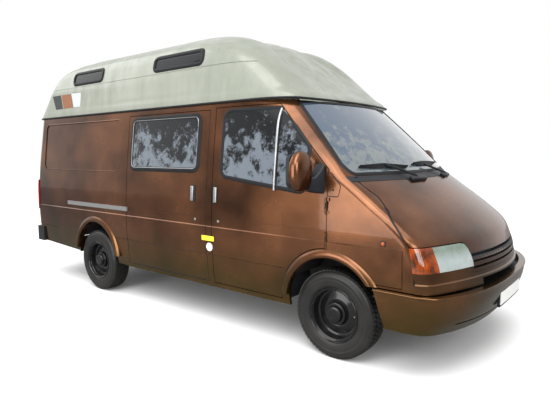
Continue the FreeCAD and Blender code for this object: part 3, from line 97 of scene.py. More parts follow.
def addNode(tree, kind, settings=None, **links):
    node = tree.nodes.new(kind)
    for name, value in (settings or {}).items():
        if hasattr(node, name):
            setattr(node, name, value)
        else:
            node.inputs[name].default_value = value
    for name, source in links.items():
        tree.links.new(source, node.inputs[name.replace("_", " ")])
    return node


def maths(tree, operation, *values):
    node = tree.nodes.new("ShaderNodeMath")
    node.operation = operation
    for socket, value in zip(node.inputs, values):
        if hasattr(value, "links"):
            tree.links.new(value, socket)
        else:
            socket.default_value = value
    return node.outputs[0]


def remap(tree, value, fromLow, fromHigh, toLow, toHigh):
    return addNode(tree, "ShaderNodeMapRange", {"From Min": fromLow, "From Max": fromHigh, "To Min": toLow,
                                                "To Max": toHigh}, Value=value).outputs[0]


def blendColours(tree, share, first, second):
    node = tree.nodes.new("ShaderNodeMix")
    node.data_type = "RGBA"
    for key, value in ((0, share), (6, first), (7, second)):
        if hasattr(value, "links"):
            tree.links.new(value, node.inputs[key])
        else:
            node.inputs[key].default_value = value if key == 0 else (*value[:3], 1)
    return node.outputs[2]


def objectSpot(tree):
    return tree.nodes.new("ShaderNodeTexCoord").outputs["Object"]


def heightOf(tree):
    return addNode(tree, "ShaderNodeSeparateXYZ", Vector=objectSpot(tree)).outputs["Z"]


def patchy(tree, source=None, **settings):
    settings = {name.title(): value for name, value in settings.items()}
    return addNode(tree, "ShaderNodeTexNoise", settings, Vector=source or objectSpot(tree)).outputs[0]


def makeGrainGroup():
    # Fine height grain, for plastic, rubber and castings.
    group, source, result = startGroup("surfaceGrain", [("Float", "Scale", 400.0),
                                                        ("Float", "Strength", 0.1)], [("Vector", "Normal")])
    noise = addNode(group, "ShaderNodeTexNoise", {"Detail": 3.0}, Vector=objectSpot(group),
                    Scale=source.outputs["Scale"])
    bump = addNode(group, "ShaderNodeBump", {"Distance": 0.001}, Height=noise.outputs[0],
                   Strength=source.outputs["Strength"])
    group.links.new(bump.outputs[0], result.inputs["Normal"])
    return group


def makeDustAndReflectionGroup():
    # A mask that grows towards the ground, broken up by noise: real road dust on the tyres, and a painted
    # reflection of green ground on the brown paint.
    group, source, result = startGroup("roadDustAndReflection", [("Float", "Amount", 0.4), ("Float", "Height", 0.6)],
                                       [("Float", "Mask")])
    low = addNode(group, "ShaderNodeMapRange", {"To Min": 1.0, "To Max": 0.0}, Value=heightOf(group),
                  From_Max=source.outputs["Height"])
    broken = maths(group, "MULTIPLY", low.outputs[0], patchy(group, scale=7.0, detail=6.0, roughness=0.7))
    group.links.new(maths(group, "MULTIPLY", broken, source.outputs["Amount"]), result.inputs["Mask"])
    return group


grainGroup = makeGrainGroup()
dustAndReflectionGroup = makeDustAndReflectionGroup()


def useGroup(tree, group, **values):
    node = tree.nodes.new("ShaderNodeGroup")
    node.node_tree = group
    for name, value in values.items():
        node.inputs[name].default_value = value
    return node.outputs[0]


def startMaterial(name, **shader):
    material = bpy.data.materials.new(name)
    material.use_nodes = True
    tree = material.node_tree
    principled = tree.nodes["Principled BSDF"]
    for key, value in shader.items():
        principled.inputs[key.replace("_", " ")].default_value = value
    return material, tree, principled


def connect(tree, principled, **sources):
    for name, source in sources.items():
        tree.links.new(source, principled.inputs[name.replace("_", " ")])


def makeFinish(name, colour, second=None, patchScale=5.0, grainScale=300.0, grain=0.1, roughness=(0.3, 0.5),
               dust=0.0, dustHeight=0.6, **shader):
    # A general finish: two colours in soft patches, dust low down, grain in the normal.
    material, tree, principled = startMaterial(name, **shader)
    patches = patchy(tree, scale=patchScale, detail=5.0, roughness=0.6)
    other = paints[second] if second else [part * 0.8 for part in paints[colour]]
    base = blendColours(tree, patches, paints[colour], other)
    if dust:
        mask = useGroup(tree, dustAndReflectionGroup, Amount=dust, Height=dustHeight)
        base = blendColours(tree, mask, base, paints["dust"])
    connect(tree, principled, Base_Color=base, Roughness=remap(tree, patches, 0.0, 1.0, *roughness))
    if grain:
        connect(tree, principled, Normal=useGroup(tree, grainGroup, Scale=grainScale, Strength=grain))
    return material


brownLook = {"metallic": 0.92, "coat": 0.3, "coatRough": 0.03, "driftAndHighlight": 1.5, "driftAndHighlightSpan": (0.34, 0.66),
             "tone": (0.02, 0.78), "flakes": 1400.0, "flakeShare": 0.30, "edgeBlend": 0.3, "edgeShade": 0.55,
             "reflectionAmount": 2.4, "reflectionHeight": 0.78, "rough": (0.20, 0.32), "peelScale": 55.0, "peel": 0.05}


def makeBrownPaint():
    # Metallic brown under clear coat: flakes, orange peel, a slow drift to copper that also paints patchy
    # highlights, and a painted reflection of green ground low down.
    look = brownLook
    material, tree, principled = startMaterial("brownMetallic", Metallic=look["metallic"],
                                               Coat_Weight=look["coat"], Coat_Roughness=look["coatRough"],
                                               Coat_IOR=1.5)
    # The slow drift between dark brown and copper is partly random tone and partly painted patchy highlight.
    driftAndHighlight = patchy(tree, scale=look["driftAndHighlight"], detail=4.0, roughness=0.55)
    flakes = addNode(tree, "ShaderNodeTexVoronoi", {"Scale": look["flakes"]}, Vector=objectSpot(tree))
    facing = addNode(tree, "ShaderNodeLayerWeight", {"Blend": look["edgeBlend"]})
    tone = maths(tree, "ADD", remap(tree, driftAndHighlight, *look["driftAndHighlightSpan"], *look["tone"]),
                 maths(tree, "MULTIPLY", flakes.outputs["Distance"], look["flakeShare"]))
    colour = blendColours(tree, tone, paints["brown"], paints["brownFlake"])
    edge = maths(tree, "MULTIPLY", facing.outputs["Facing"], look["edgeShade"])
    colour = blendColours(tree, edge, colour, paints["brown"])
    # Olive towards the bottom: a painted reflection of green ground.
    groundReflectionMask = useGroup(tree, dustAndReflectionGroup, Amount=look["reflectionAmount"], Height=look["reflectionHeight"])
    connect(tree, principled, Base_Color=blendColours(tree, groundReflectionMask, colour, paints["greenReflection"]),
            Roughness=remap(tree, driftAndHighlight, 0.0, 1.0, *look["rough"]),
            Coat_Normal=useGroup(tree, grainGroup, Scale=look["peelScale"], Strength=look["peel"]))
    return material


creamLook = {"coat": 0.35, "coatRough": 0.12, "stretch": (5.0, 5.0, 1.1), "streaks": 1.6,
             "streakSpan": (0.35, 0.7), "patches": 1.2, "patchSpan": (0.3, 0.7),
             "patchShare": (0.4, 1.0), "rough": (0.25, 0.48),
             "grainScale": 40.0, "grain": 0.08}


def makeCreamRoof():
    # Weathered cream plastic: darker streaks that run down it and chalky patches, partly real stains and partly
    # painted dappled tree shade; a thin shine.
    look = creamLook
    material, tree, principled = startMaterial("creamRoof", Coat_Weight=look["coat"],
                                               Coat_Roughness=look["coatRough"])
    stretch = addNode(tree, "ShaderNodeMapping", {"Scale": look["stretch"]}, Vector=objectSpot(tree))
    streaks = patchy(tree, stretch.outputs[0], scale=look["streaks"], detail=7.0, roughness=0.62)
    patches = patchy(tree, scale=look["patches"], detail=3.0)
    share = maths(tree, "MULTIPLY", remap(tree, streaks, *look["streakSpan"], 0.0, 1.0),
                  remap(tree, patches, *look["patchSpan"], *look["patchShare"]))
    connect(tree, principled, Base_Color=blendColours(tree, share, paints["cream"], paints["creamStainAndShade"]),
            Roughness=remap(tree, streaks, 0.3, 0.7, *look["rough"]),
            Normal=useGroup(tree, grainGroup, Scale=look["grainScale"], Strength=look["grain"]))
    return material


glassLook = {"through": 0.10, "coatRough": 0.01, "smearAndReflection": 8.5, "detail": 9.0, "break": 0.74, "bend": 0.15,
             "sillSpan": (1.30, 1.80), "sillReflectionShift": (0.15, -0.035), "reflectionSpan": (0.52, 0.61),
             "rough": (0.0, 0.06)}


def makeGlass(name, coat, tint="glassTint", reflection="glassReflection", gloss=0.5):
    # Dark tinted glass with painted reflections: leafy dapples of sky above, and a pale painted reflection that
    # grows towards the sill; the same noise makes the gloss uneven.
    look = glassLook
    material, tree, principled = startMaterial(name, Transmission_Weight=look["through"], IOR=1.45,
                                               Specular_IOR_Level=gloss, Coat_Weight=coat,
                                               Coat_Roughness=look["coatRough"], Coat_IOR=1.6)
    smearAndReflection = patchy(tree, scale=look["smearAndReflection"], detail=look["detail"], roughness=look["break"],
                   distortion=look["bend"])
    lowReflection = remap(tree, heightOf(tree), *look["sillSpan"], *look["sillReflectionShift"])
    paintedReflection = remap(tree, maths(tree, "ADD", smearAndReflection, lowReflection), *look["reflectionSpan"], 0.0, 1.0)
    connect(tree, principled, Base_Color=blendColours(tree, paintedReflection, paints[tint], paints[reflection]),
            Roughness=remap(tree, smearAndReflection, 0.0, 1.0, *look["rough"]))
    return material


lensLook = {"rough": 0.08, "coatRough": 0.02, "wobble": 0.4, "fluteShare": 0.25, "patches": 11.0,
            "patchSpan": (0.38, 0.62), "fadeShare": 0.6, "bump": 0.35, "deep": 0.002}


def makeLens(name, colour, dark, flutes, patchShare=0.75, fade=None, **shader):
    # A moulded lens: upright flutes in the surface, darker in patches or towards its top.
    look = lensLook
    material, tree, principled = startMaterial(name, Roughness=look["rough"], Coat_Weight=1.0,
                                               Coat_Roughness=look["coatRough"], **shader)
    wave = addNode(tree, "ShaderNodeTexWave", {"Scale": flutes, "Distortion": look["wobble"],
                                               "bands_direction": "Y"},
                   Vector=objectSpot(tree)).outputs["Fac"]
    patches = patchy(tree, scale=look["patches"], detail=3.0, roughness=0.6)
    share = maths(tree, "ADD", maths(tree, "MULTIPLY", wave, look["fluteShare"]),
                  remap(tree, patches, *look["patchSpan"], 0.0, patchShare))
    if fade:
        share = maths(tree, "ADD", share, remap(tree, heightOf(tree), *fade, 0.0, look["fadeShare"]))
    bump = addNode(tree, "ShaderNodeBump", {"Strength": look["bump"], "Distance": look["deep"]}, Height=wave)
    connect(tree, principled, Base_Color=blendColours(tree, share, paints[colour], paints[dark]),
            Normal=bump.outputs[0])
    return material


clothLook = {"threads": 120.0, "worn": 9.0, "weaveShare": 0.6, "wornShare": 0.4, "rough": (0.8, 0.95),
             "bump": 0.5, "deep": 0.0006, "sheen": 0.35}


def makeCloth():
    # Woven seat cloth: crossed threads in colour and height.
    look = clothLook
    material, tree, principled = startMaterial("seatCloth", Sheen_Weight=look["sheen"], Sheen_Roughness=0.5)
    weft, warp = (addNode(tree, "ShaderNodeTexWave", {"Scale": look["threads"], "bands_direction": way},
                          Vector=objectSpot(tree)).outputs["Fac"] for way in ("Z", "Y"))
    weave = maths(tree, "MULTIPLY", weft, warp)
    worn = patchy(tree, scale=look["worn"], detail=5.0)
    share = maths(tree, "ADD", maths(tree, "MULTIPLY", weave, look["weaveShare"]),
                  maths(tree, "MULTIPLY", worn, look["wornShare"]))
    bump = addNode(tree, "ShaderNodeBump", {"Strength": look["bump"], "Distance": look["deep"]}, Height=weave)
    connect(tree, principled, Base_Color=blendColours(tree, share, paints["cloth"], paints["clothLight"]),
            Roughness=remap(tree, worn, 0.0, 1.0, *look["rough"]), Normal=bump.outputs[0])
    return material


# Slot: name, two colours, scales of patches and grain, strength of grain, roughness, and what else it has.
plainFinishes = {
    "tyre_rubber": ("tyreRubber", "rubber", "rubberDust", 9.0, 220.0, 0.3, (0.30, 0.48),
                    {"dust": 0.05, "dustHeight": 0.3, "Specular_IOR_Level": 0.4}),
    "wheel_black": ("wheelEnamel", "blackEnamel", "underBlack", 12.0, 90.0, 0.05, (0.20, 0.32),
                    {"Coat_Weight": 0.35, "Coat_Roughness": 0.06, "Specular_IOR_Level": 0.35}),
    "chassis_black": ("underseal", "underBlack", "iron", 4.0, 150.0, 0.5, (0.5, 0.8), {}),
    "underside_iron": ("castIron", "iron", "rust", 8.0, 200.0, 0.5, (0.6, 0.85), {"Metallic": 0.3}),
    "engine_grey": ("engineIron", "iron", "rust", 6.0, 160.0, 0.4, (0.5, 0.8), {"Metallic": 0.4}),
    "black_plastic": ("grainedPlastic", "plastic", "plasticWorn", 6.0, 500.0, 0.3, (0.35, 0.55),
                      {"Specular_IOR_Level": 0.3}),
    "rail_metal": ("railAlloy", "alloy", "alloyWorn", 20.0, 300.0, 0.1, (0.22, 0.38), {"Metallic": 0.85}),
    "cap_white": ("whiteCap", "white", "whiteWorn", 20.0, 200.0, 0.05, (0.25, 0.4), {}),
    "exhaust_steel": ("dullSteel", "iron", "rust", 10.0, 150.0, 0.3, (0.4, 0.7), {"Metallic": 0.7}),
    "trim": ("trimCard", "trim", "trimWorn", 6.0, 300.0, 0.2, (0.6, 0.8), {}),
    "seal": ("windowRubber", "rubber", "rubberWorn", 14.0, 300.0, 0.1, (0.4, 0.6),
             {"Specular_IOR_Level": 0.2}),
    "reflector": ("lampBowl", "bowl", "bowlWorn", 30.0, 60.0, 0.1, (0.12, 0.3), {"Metallic": 0.3}),
    "mirrorGlass": ("mirrorGlass", "mirror", None, 4.0, 60.0, 0.0, (0.02, 0.05), {"Metallic": 1.0}),
    "plate": ("blankPlate", "plate", "plateWorn", 12.0, 200.0, 0.05, (0.3, 0.45), {}),
    "sticker": ("yellowSticker", "yellow", "yellowWorn", 20.0, 200.0, 0.05, (0.35, 0.5), {}),
    "stripe0": ("greyStripe", "stripeGrey", None, 20.0, 200.0, 0.05, (0.3, 0.45), {}),
    "stripe1": ("brownStripe", "stripeBrown", None, 20.0, 200.0, 0.05, (0.3, 0.45), {}),
    "stripe2": ("blueStripe", "stripeBlue", "stripeBlueWorn", 9.0, 200.0, 0.05, (0.3, 0.45), {}),
}
finish = {slot: makeFinish(*row[:7], **row[7]) for slot, row in plainFinishes.items()}
finish.update({
    "paint_brown": makeBrownPaint(),
    "roof_cream": makeCreamRoof(),
    "tinted_glass": makeGlass("tintedGlass", 0.45),
    "roof_glass": makeGlass("roofGlass", 0.0, reflection="glassTint", gloss=0.15),
    "screen_glass": makeGlass("screenGlass", 0.7, "screenTint", "screenReflection"),
    "lamp_amber": makeLens("amberLens", "amber", "amberDark", 30.0),
    "lamp_red": makeLens("redLens", "red", "redDark", 30.0),
    "lamp_clear": makeLens("lampGlass", "clear", "clearShade", 24.0, 0.2, fade=(0.80, 0.87),
                           Transmission_Weight=0.35, IOR=1.1),
    "seat_fabric": makeCloth(),
})
print("finishes made:", len(finish))

# Every CAD node starts with its own finish.
slotOf = {part["node"]: part["material_slot"] for part in frame["record"]["subparts"]}
for name, node in nodes.items():
    node.data.materials.clear()
    node.data.materials.append(finish[slotOf[name]])


# Shared makers for meshes, surfaces to sit on and beads that follow them.
def rideOn(piece, body):
    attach(piece, body)
    return piece


def markSharp(bm, limit):
    for face in bm.faces:
        face.smooth = True
    for edge in bm.edges:
        if len(edge.link_faces) != 2 or edge.calc_face_angle(0) > math.radians(limit):
            edge.smooth = False


def addObject(name, data):
    piece = bpy.data.objects.new(name, data)
    bpy.context.scene.collection.objects.link(piece)
    return piece


def finishMesh(name, bm, *slots, sharp=30):
    markSharp(bm, sharp)
    mesh = bpy.data.meshes.new(name)
    bm.to_mesh(mesh)
    bm.free()
    for slot in slots:
        mesh.materials.append(finish[slot])
    return addObject(name, mesh)


def place(name, bm, body, *slots, sharp=30):
    return rideOn(finishMesh(name, bm, *slots, sharp=sharp), body)


def skinOf(*members):
    points, faces = [], []
    for member in members:
        mesh = nodes[member].data
        start = len(points)
        points += [vertex.co.copy() for vertex in mesh.vertices]
        faces += [[start + i for i in polygon.vertices] for polygon in mesh.polygons]
    return BVHTree.FromPolygons(points, faces)


# Where rays start, and how far short of the middle they end.
outside = {"ahead": 4.0, "beside": 3.0, "nearly": 0.9}


def touch(skin, origin, way):
    origin, way = Vector(origin), Vector(way)
    point, normal = skin.ray_cast(origin, way)[:2]
    if point is None:
        point, normal = skin.find_nearest(origin + way * (origin.length - outside["nearly"]))[:2]
    return point, normal if normal.dot(way) < 0 else -normal


def onSide(skin, x, z, side):
    return touch(skin, (x, outside["beside"] * side, z), (0, -side, 0))


def onFront(skin, y, z):
    return touch(skin, (outside["ahead"], y, z), (-1, 0, 0))


def onRear(skin, y, z):
    return touch(skin, (-outside["ahead"], y, z), (1, 0, 0))


def onTop(skin, x, y):
    return touch(skin, (x, y, outside["ahead"]), (0, 0, -1))


def roundOutline(corners, radius, bend=6, stride=0.10):
    # An outline with rounded corners, as closely spaced points.
    corners = [Vector(corner) for corner in corners]
    rounded = []
    for i, corner in enumerate(corners):
        before = (corners[i - 1] - corner).normalized()
        after = (corners[(i + 1) % len(corners)] - corner).normalized()
        half = before.angle(after) / 2
        centre = corner + (before + after).normalized() * radius / math.sin(half)
        start = corner + before * radius / math.tan(half) - centre
        end = corner + after * radius / math.tan(half) - centre
        rounded += [centre + start.lerp(end, k / bend).normalized() * radius for k in range(bend + 1)]
    return spread(rounded, stride, True)


def spread(spots, stride, closed):
    # Points added between spots, so that none lies further than the stride from the last.
    path = []
    for spot, following in zip(spots, spots[1:] + (spots[:1] if closed else [])):
        parts = max(1, math.ceil((following - spot).length / stride))
        path += [spot.lerp(following, k / parts) for k in range(parts)]
    return path


def bead(width, height, shift=0.0, sink=0.002, steps=6):
    # A half-round section: places across and heights above the surface.
    arc = [(shift - width / 2 * math.cos(math.pi * k / steps), height * math.sin(math.pi * k / steps))
           for k in range(steps + 1)]
    return [(shift - width / 2, -sink)] + arc + [(shift + width / 2, -sink)]


def joinRings(bm, rings, closed=False, capped=False, material=0):
    # Faces between rings of points, round again to the first or capped at both ends.
    count = len(rings[0])
    made = []
    for first, second in zip(rings, rings[1:] + (rings[:1] if closed else [])):
        made += [bm.faces.new((first[k], first[(k + 1) % count], second[(k + 1) % count], second[k]))
                 for k in range(count)]
    if capped:
        made += [bm.faces.new(rings[0]), bm.faces.new(rings[-1])]
    for face in made:
        face.material_index = material


def recalc(bm):
    bmesh.ops.recalc_face_normals(bm, faces=bm.faces)


def sweep(bm, path, section, closed=True, material=0):
    # A section carried along points with normals; places across count towards the path's middle.
    count = len(path)
    middle = sum((point for point, normal in path), Vector()) / count
    rings = []
    for i, (point, normal) in enumerate(path):
        last, following = path[i - 1], path[(i + 1) % count]
        if not closed:
            last, following = path[max(i - 1, 0)], path[min(i + 1, count - 1)]
        up = (last[1] + normal * 2 + following[1]).normalized()
        along = (following[0] - last[0]).normalized()
        across = up.cross(along).normalized()
        if closed and across.dot(middle - point) < 0:
            across = -across
        rings.append([bm.verts.new(point + across * u + up * v) for u, v in section])
    joinRings(bm, rings, closed, not closed, material)
    recalc(bm)


def block(bm, matrix, size, bevel, material=0, steps=3):
    # A rounded block in a place of its own.
    made = bmesh.ops.create_cube(bm, size=1.0)
    bmesh.ops.scale(bm, verts=made["verts"], vec=size)
    edges = list(dict.fromkeys(edge for vertex in made["verts"] for edge in vertex.link_edges))
    rounded = bmesh.ops.bevel(bm, geom=edges, offset=bevel, segments=steps, profile=0.5, affect="EDGES")
    verts = {vertex for face in rounded["faces"] for vertex in face.verts}
    verts |= {vertex for vertex in made["verts"] if vertex.is_valid}
    for face in {face for vertex in verts for face in vertex.link_faces}:
        face.material_index = material
    bmesh.ops.transform(bm, matrix=matrix, verts=list(verts))


def seatOn(point, normal, lift=0.0):
    # A place on a surface: x runs along it level, y up it, z out of it.
    out = normal.normalized()
    level = Vector((0, 0, 1)).cross(out).normalized()
    turned = Matrix((level, out.cross(level), out)).transposed().to_4x4()
    return Matrix.Translation(point + out * lift) @ turned


def lathe(bm, profile, segments=96):
    # A profile of radii and reaches turned about the Y axis.
    rings = []
    for k in range(segments):
        angle = 2 * math.pi * k / segments
        rings.append([bm.verts.new((radius * math.sin(angle), reach, radius * math.cos(angle)))
                      for radius, reach in profile])
    for first, second in zip(rings, rings[1:] + rings[:1]):
        for i in range(len(profile) - 1):
            bm.faces.new((first[i], first[i + 1], second[i + 1], second[i]))
    bmesh.ops.remove_doubles(bm, verts=bm.verts, dist=0.00001)
    recalc(bm)


def button(profile, point, normal, segments=24):
    # A small turned shape whose axis stands out of a surface.
    bm = bmesh.new()
    lathe(bm, profile, segments)
    turned = seatOn(point, normal) @ Matrix.Rotation(math.pi / 2, 4, "X")
    bmesh.ops.transform(bm, matrix=turned, verts=bm.verts)
    return bm


def evaluated(piece):
    return bpy.data.meshes.new_from_object(piece.evaluated_get(bpy.context.evaluated_depsgraph_get()))


def roundRow(name, pattern, count, material):
    # Copies of a pattern turned about the Y axis, made once as a plain mesh.
    group = bpy.data.node_groups.new(name, "GeometryNodeTree")
    sockets = {}
    for kind, label in (("Object", "Pattern"), ("Int", "Count"), ("Material", "Finish")):
        sockets[label] = group.interface.new_socket(label, in_out="INPUT", socket_type="NodeSocket" + kind)
    group.interface.new_socket("Geometry", in_out="OUTPUT", socket_type="NodeSocketGeometry")
    source, result = group.nodes.new("NodeGroupInput"), group.nodes.new("NodeGroupOutput")
    line = addNode(group, "GeometryNodeMeshLine", {"Offset": (0, 0, 0)}, Count=source.outputs["Count"])
    shown = addNode(group, "GeometryNodeObjectInfo", Object=source.outputs["Pattern"])
    step = maths(group, "DIVIDE", 2 * math.pi, source.outputs["Count"])
    index = group.nodes.new("GeometryNodeInputIndex")
    turn = addNode(group, "ShaderNodeCombineXYZ", Y=maths(group, "MULTIPLY", index.outputs[0], step))
    copies = addNode(group, "GeometryNodeInstanceOnPoints", Points=line.outputs[0],
                     Instance=shown.outputs["Geometry"], Rotation=turn.outputs[0])
    plain = addNode(group, "GeometryNodeRealizeInstances", Geometry=copies.outputs[0])
    painted = addNode(group, "GeometryNodeSetMaterial", Geometry=plain.outputs[0],
                      Material=source.outputs["Finish"])
    group.links.new(painted.outputs[0], result.inputs[0])
    holder = addObject(name, bpy.data.meshes.new(name))
    modifier = holder.modifiers.new(name, "NODES")
    modifier.node_group = group
    for label, value in (("Pattern", pattern), ("Count", count), ("Finish", material)):
        modifier[sockets[label].identifier] = value
    mesh = evaluated(holder)
    bpy.data.objects.remove(holder)
    bpy.data.objects.remove(pattern)
    return mesh


# Panels: merged smooth copies, painted outside and lined with trim inside.
panels = {"merge": 0.00001, "inward": -0.5, "edge": 0.2, "lean": 0.1, "roofFrom": 1.9, "grilleHalf": 0.512,
          "grilleLow": 0.70, "grilleBack": 0.020, "below": 0.01}


def mergedCopy(*members):
    bm = bmesh.new()
    for member in members:
        bm.from_mesh(nodes[member].data)
    bmesh.ops.remove_doubles(bm, verts=bm.verts, dist=panels["merge"])
    return bm


def smoothCopy(member, slot, lining=None, sharp=28, inward=panels["inward"]):
    bm = mergedCopy(member)
    if lining:
        for face in bm.faces:
            middle = face.calc_center_median()
            out = Vector((middle.x * panels["lean"], middle.y, max(middle.z - panels["roofFrom"], 0)))
            face.material_index = int(face.normal.dot(out.normalized()) < inward)
    piece = finishMesh(member + "_skin", bm, *([slot, lining] if lining else [slot]), sharp=sharp)
    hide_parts(member)
    return rideOn(piece, bodyOf[member])


# On the doors the edges that face into the shut lines take the dark trim too: painted shade in the gaps.
for panel in ("front_door_right", "front_door_left", "sliding_door"):
    smoothCopy(panel, "paint_brown", "trim", inward=panels["edge"])
for panel in ("side_panel_right", "side_panel_left", "front_wing_right", "front_wing_left", "screen_frame",
              "bonnet", "rear_frame", "rear_door_right", "rear_door_left", "front_bumper"):
    smoothCopy(panel, "paint_brown", "trim")
smoothCopy("high_roof", "roof_cream", "trim")
grille = smoothCopy("grille_panel", "paint_brown", "black_plastic")
noseSkin = skinOf("grille_panel", "bonnet", "headlamps", "front_indicators")
for polygon in grille.data.polygons:
    middle = polygon.center
    if abs(middle.y) < panels["grilleHalf"] and middle.z > panels["grilleLow"]:
        surface = onFront(noseSkin, middle.y, panels["grilleLow"] - panels["below"])[0].x
        polygon.material_index = int(surface - middle.x > panels["grilleBack"])
for glass in ("front_door_glass_right", "front_door_glass_left", "side_windows", "rear_door_glass_right",
              "rear_door_glass_left"):
    smoothCopy(glass, "tinted_glass")
for glass, look in (("windscreen", "screen_glass"), ("roof_windows", "roof_glass")):
    smoothCopy(glass, look)
for part, slot in (("rear_bumper", "black_plastic"), ("door_rail", "rail_metal"), ("tail_lamps", "lamp_red"),
                   ("front_indicators", "lamp_amber"), ("steering_wheel", "black_plastic"),
                   ("cowl", "black_plastic"), ("dashboard", "black_plastic"), ("filler_cap", "cap_white")):
    smoothCopy(part, slot, sharp=35)
print("panels made")

# Window rubbers and bright strips; places are metres behind the front axle and heights.
windows = {
    "cabWindow": {"outline": [(1.085, 1.308), (1.085, 1.850), (0.500, 1.850), (0.200, 1.540), (0.200, 1.208)],
                  "round": 0.070, "rubber": 0.032, "high": 0.007},
    "sideWindow": {"outline": [(2.360, 1.350), (2.360, 1.832), (1.380, 1.832), (1.380, 1.350)],
                   "round": 0.060, "rubber": 0.046, "high": 0.009},
    "frontRoofWindow": {"outline": [(2.075, 2.284), (2.075, 2.405), (1.400, 2.405), (1.400, 2.284)],
                        "round": 0.040, "rubber": 0.040, "high": 0.012},
    "rearRoofWindow": {"outline": [(3.550, 2.284), (3.550, 2.405), (2.970, 2.405), (2.970, 2.284)],
                       "round": 0.040, "rubber": 0.040, "high": 0.012},
}
strips = {"filler": 0.008, "fillerHigh": 0.002, "fillerShift": 0.014, "bar": 0.507, "barWidth": 0.020,
          "barHigh": 0.010, "barEnds": (1.216, 1.842), "barSteps": 12, "sealAt": 0.491, "sealWidth": 0.014,
          "sealHigh": 0.008}
screenSeal = {"outline": [(-0.878, 1.348), (0.878, 1.348), (0.712, 1.900), (-0.712, 1.900)], "round": 0.060,
              "width": 0.034, "high": 0.007}
rearSeal = {"outline": [(0.090, 1.310), (0.700, 1.310), (0.700, 1.790), (0.090, 1.790)], "round": 0.060,
            "width": 0.034, "high": 0.009}
sideSkins = {side: skinOf(*["front_door_" + hand, "front_door_glass_" + hand, "side_panel_" + hand,
                            "front_wing_" + hand, "side_windows", "screen_frame"]
                          + (["sliding_door"] if side < 0 else [])) for side, hand in hands}
rearSkins = {side: skinOf("rear_door_" + hand, "rear_door_glass_" + hand) for side, hand in hands}
roofSkin = skinOf("high_roof", "roof_windows")
frontSkin = skinOf("windscreen", "screen_frame", "cowl", "bonnet")


def windowPath(skin, outline, radius, side):
    return [onSide(skin, aft(x), z, side) for x, z in roundOutline(outline, radius)]


def sealPath(skin, look, onFace, side=1):
    return [onFace(skin, y * side, z) for y, z in roundOutline(look["outline"], look["round"])]


def uprightBar(bm, side, distance, width, high, material):
    low, top = strips["barEnds"]
    steps = strips["barSteps"]
    path = [onSide(sideSkins[side], aft(distance), low + (top - low) * k / steps, side)
            for k in range(steps + 1)]
    sweep(bm, path, bead(width, high), closed=False, material=material)


for side, hand in hands:
    for key, look in windows.items():
        skin = roofSkin if "Roof" in key else sideSkins[side]
        bm = bmesh.new()
        path = windowPath(skin, look["outline"], look["round"], side)
        sweep(bm, path, bead(look["rubber"], look["high"]))
        if key == "sideWindow":
            filler = bead(strips["filler"], look["high"] + strips["fillerHigh"], strips["fillerShift"])
            sweep(bm, path, filler, material=1)
        place(key + "_rubber_" + hand, bm, "door_front_" + hand if key == "cabWindow" else "root",
              "seal", "rail_metal")
    bm = bmesh.new()
    uprightBar(bm, side, strips["bar"], strips["barWidth"], strips["barHigh"], 0)
    uprightBar(bm, side, strips["sealAt"], strips["sealWidth"], strips["sealHigh"], 1)
    place("cabWindow_bar_" + hand, bm, "door_front_" + hand, "rail_metal", "seal")
bm = bmesh.new()
sweep(bm, sealPath(frontSkin, screenSeal, onFront), bead(screenSeal["width"], screenSeal["high"]))
place("screen_rubber", bm, "root", "seal")
for side, hand in hands:
    bm = bmesh.new()
    sweep(bm, sealPath(rearSkins[side], rearSeal, onRear, side), bead(rearSeal["width"], rearSeal["high"]))
    place("rearWindow_rubber_" + hand, bm, "door_rear_" + hand, "seal")
print("window rubbers made")

# Roof: drip rubber along its foot, three colour stripes on each side, ribs on its brow.
roofTrim = {"seamHeight": 1.926, "seamWidth": 0.020, "seamHigh": 0.010, "stripeLift": 0.0012,
            "stripeSteps": 6}
stripes = [((4.028, 2.184), (3.837, 2.188), (3.768, 2.024), (3.933, 2.022)),
           ((3.822, 2.188), (3.607, 2.187), (3.541, 2.028), (3.752, 2.024)),
           ((3.592, 2.187), (3.387, 2.182), (3.387, 2.030), (3.526, 2.028))]
ribs = {"places": (-0.50, 0.0, 0.50), "half": 0.235, "high": 0.036, "sink": 0.002, "base": 0.010,
        "front": 1.46, "rear": -0.30, "fade": 0.45, "steps": 60, "across": 20}


def sliceLoop(member, height, apart=0.004):
    # The longest outline where a level plane cuts a node, walked in the same order on every run.
    bm = mergedCopy(member)
    cut = bmesh.ops.bisect_plane(bm, geom=bm.verts[:] + bm.edges[:] + bm.faces[:], plane_co=(0, 0, height),
                                 plane_no=(0, 0, 1))["geom_cut"]
    left = dict.fromkeys(edge for edge in cut if isinstance(edge, bmesh.types.BMEdge))
    loops = []
    while left:
        edge = next(iter(left))
        del left[edge]
        chain = list(edge.verts)
        grown = True
        while grown:
            grown = next((other for other in chain[-1].link_edges if other in left), None)
            if grown:
                del left[grown]
                chain.append(grown.other_vert(chain[-1]))
        loops.append([vertex.co.copy() for vertex in chain])
    bm.free()
    longest = max(loops, key=lambda loop: sum((a - b).length for a, b in zip(loop, loop[1:])))
    loop = [longest[0]]
    for point in longest[1:]:
        if (point - loop[-1]).length > apart:
            loop.append(point)
    if (loop[0] - loop[-1]).length < apart:
        loop.pop()
    return loop


def levelPath(loop):
    middle = sum(loop, Vector()) / len(loop)
    path = []
    for i, point in enumerate(loop):
        along = loop[(i + 1) % len(loop)] - loop[i - 1]
        out = along.cross(Vector((0, 0, 1))).normalized()
        path.append((point, out if out.dot(point - middle) > 0 else -out))
    return path


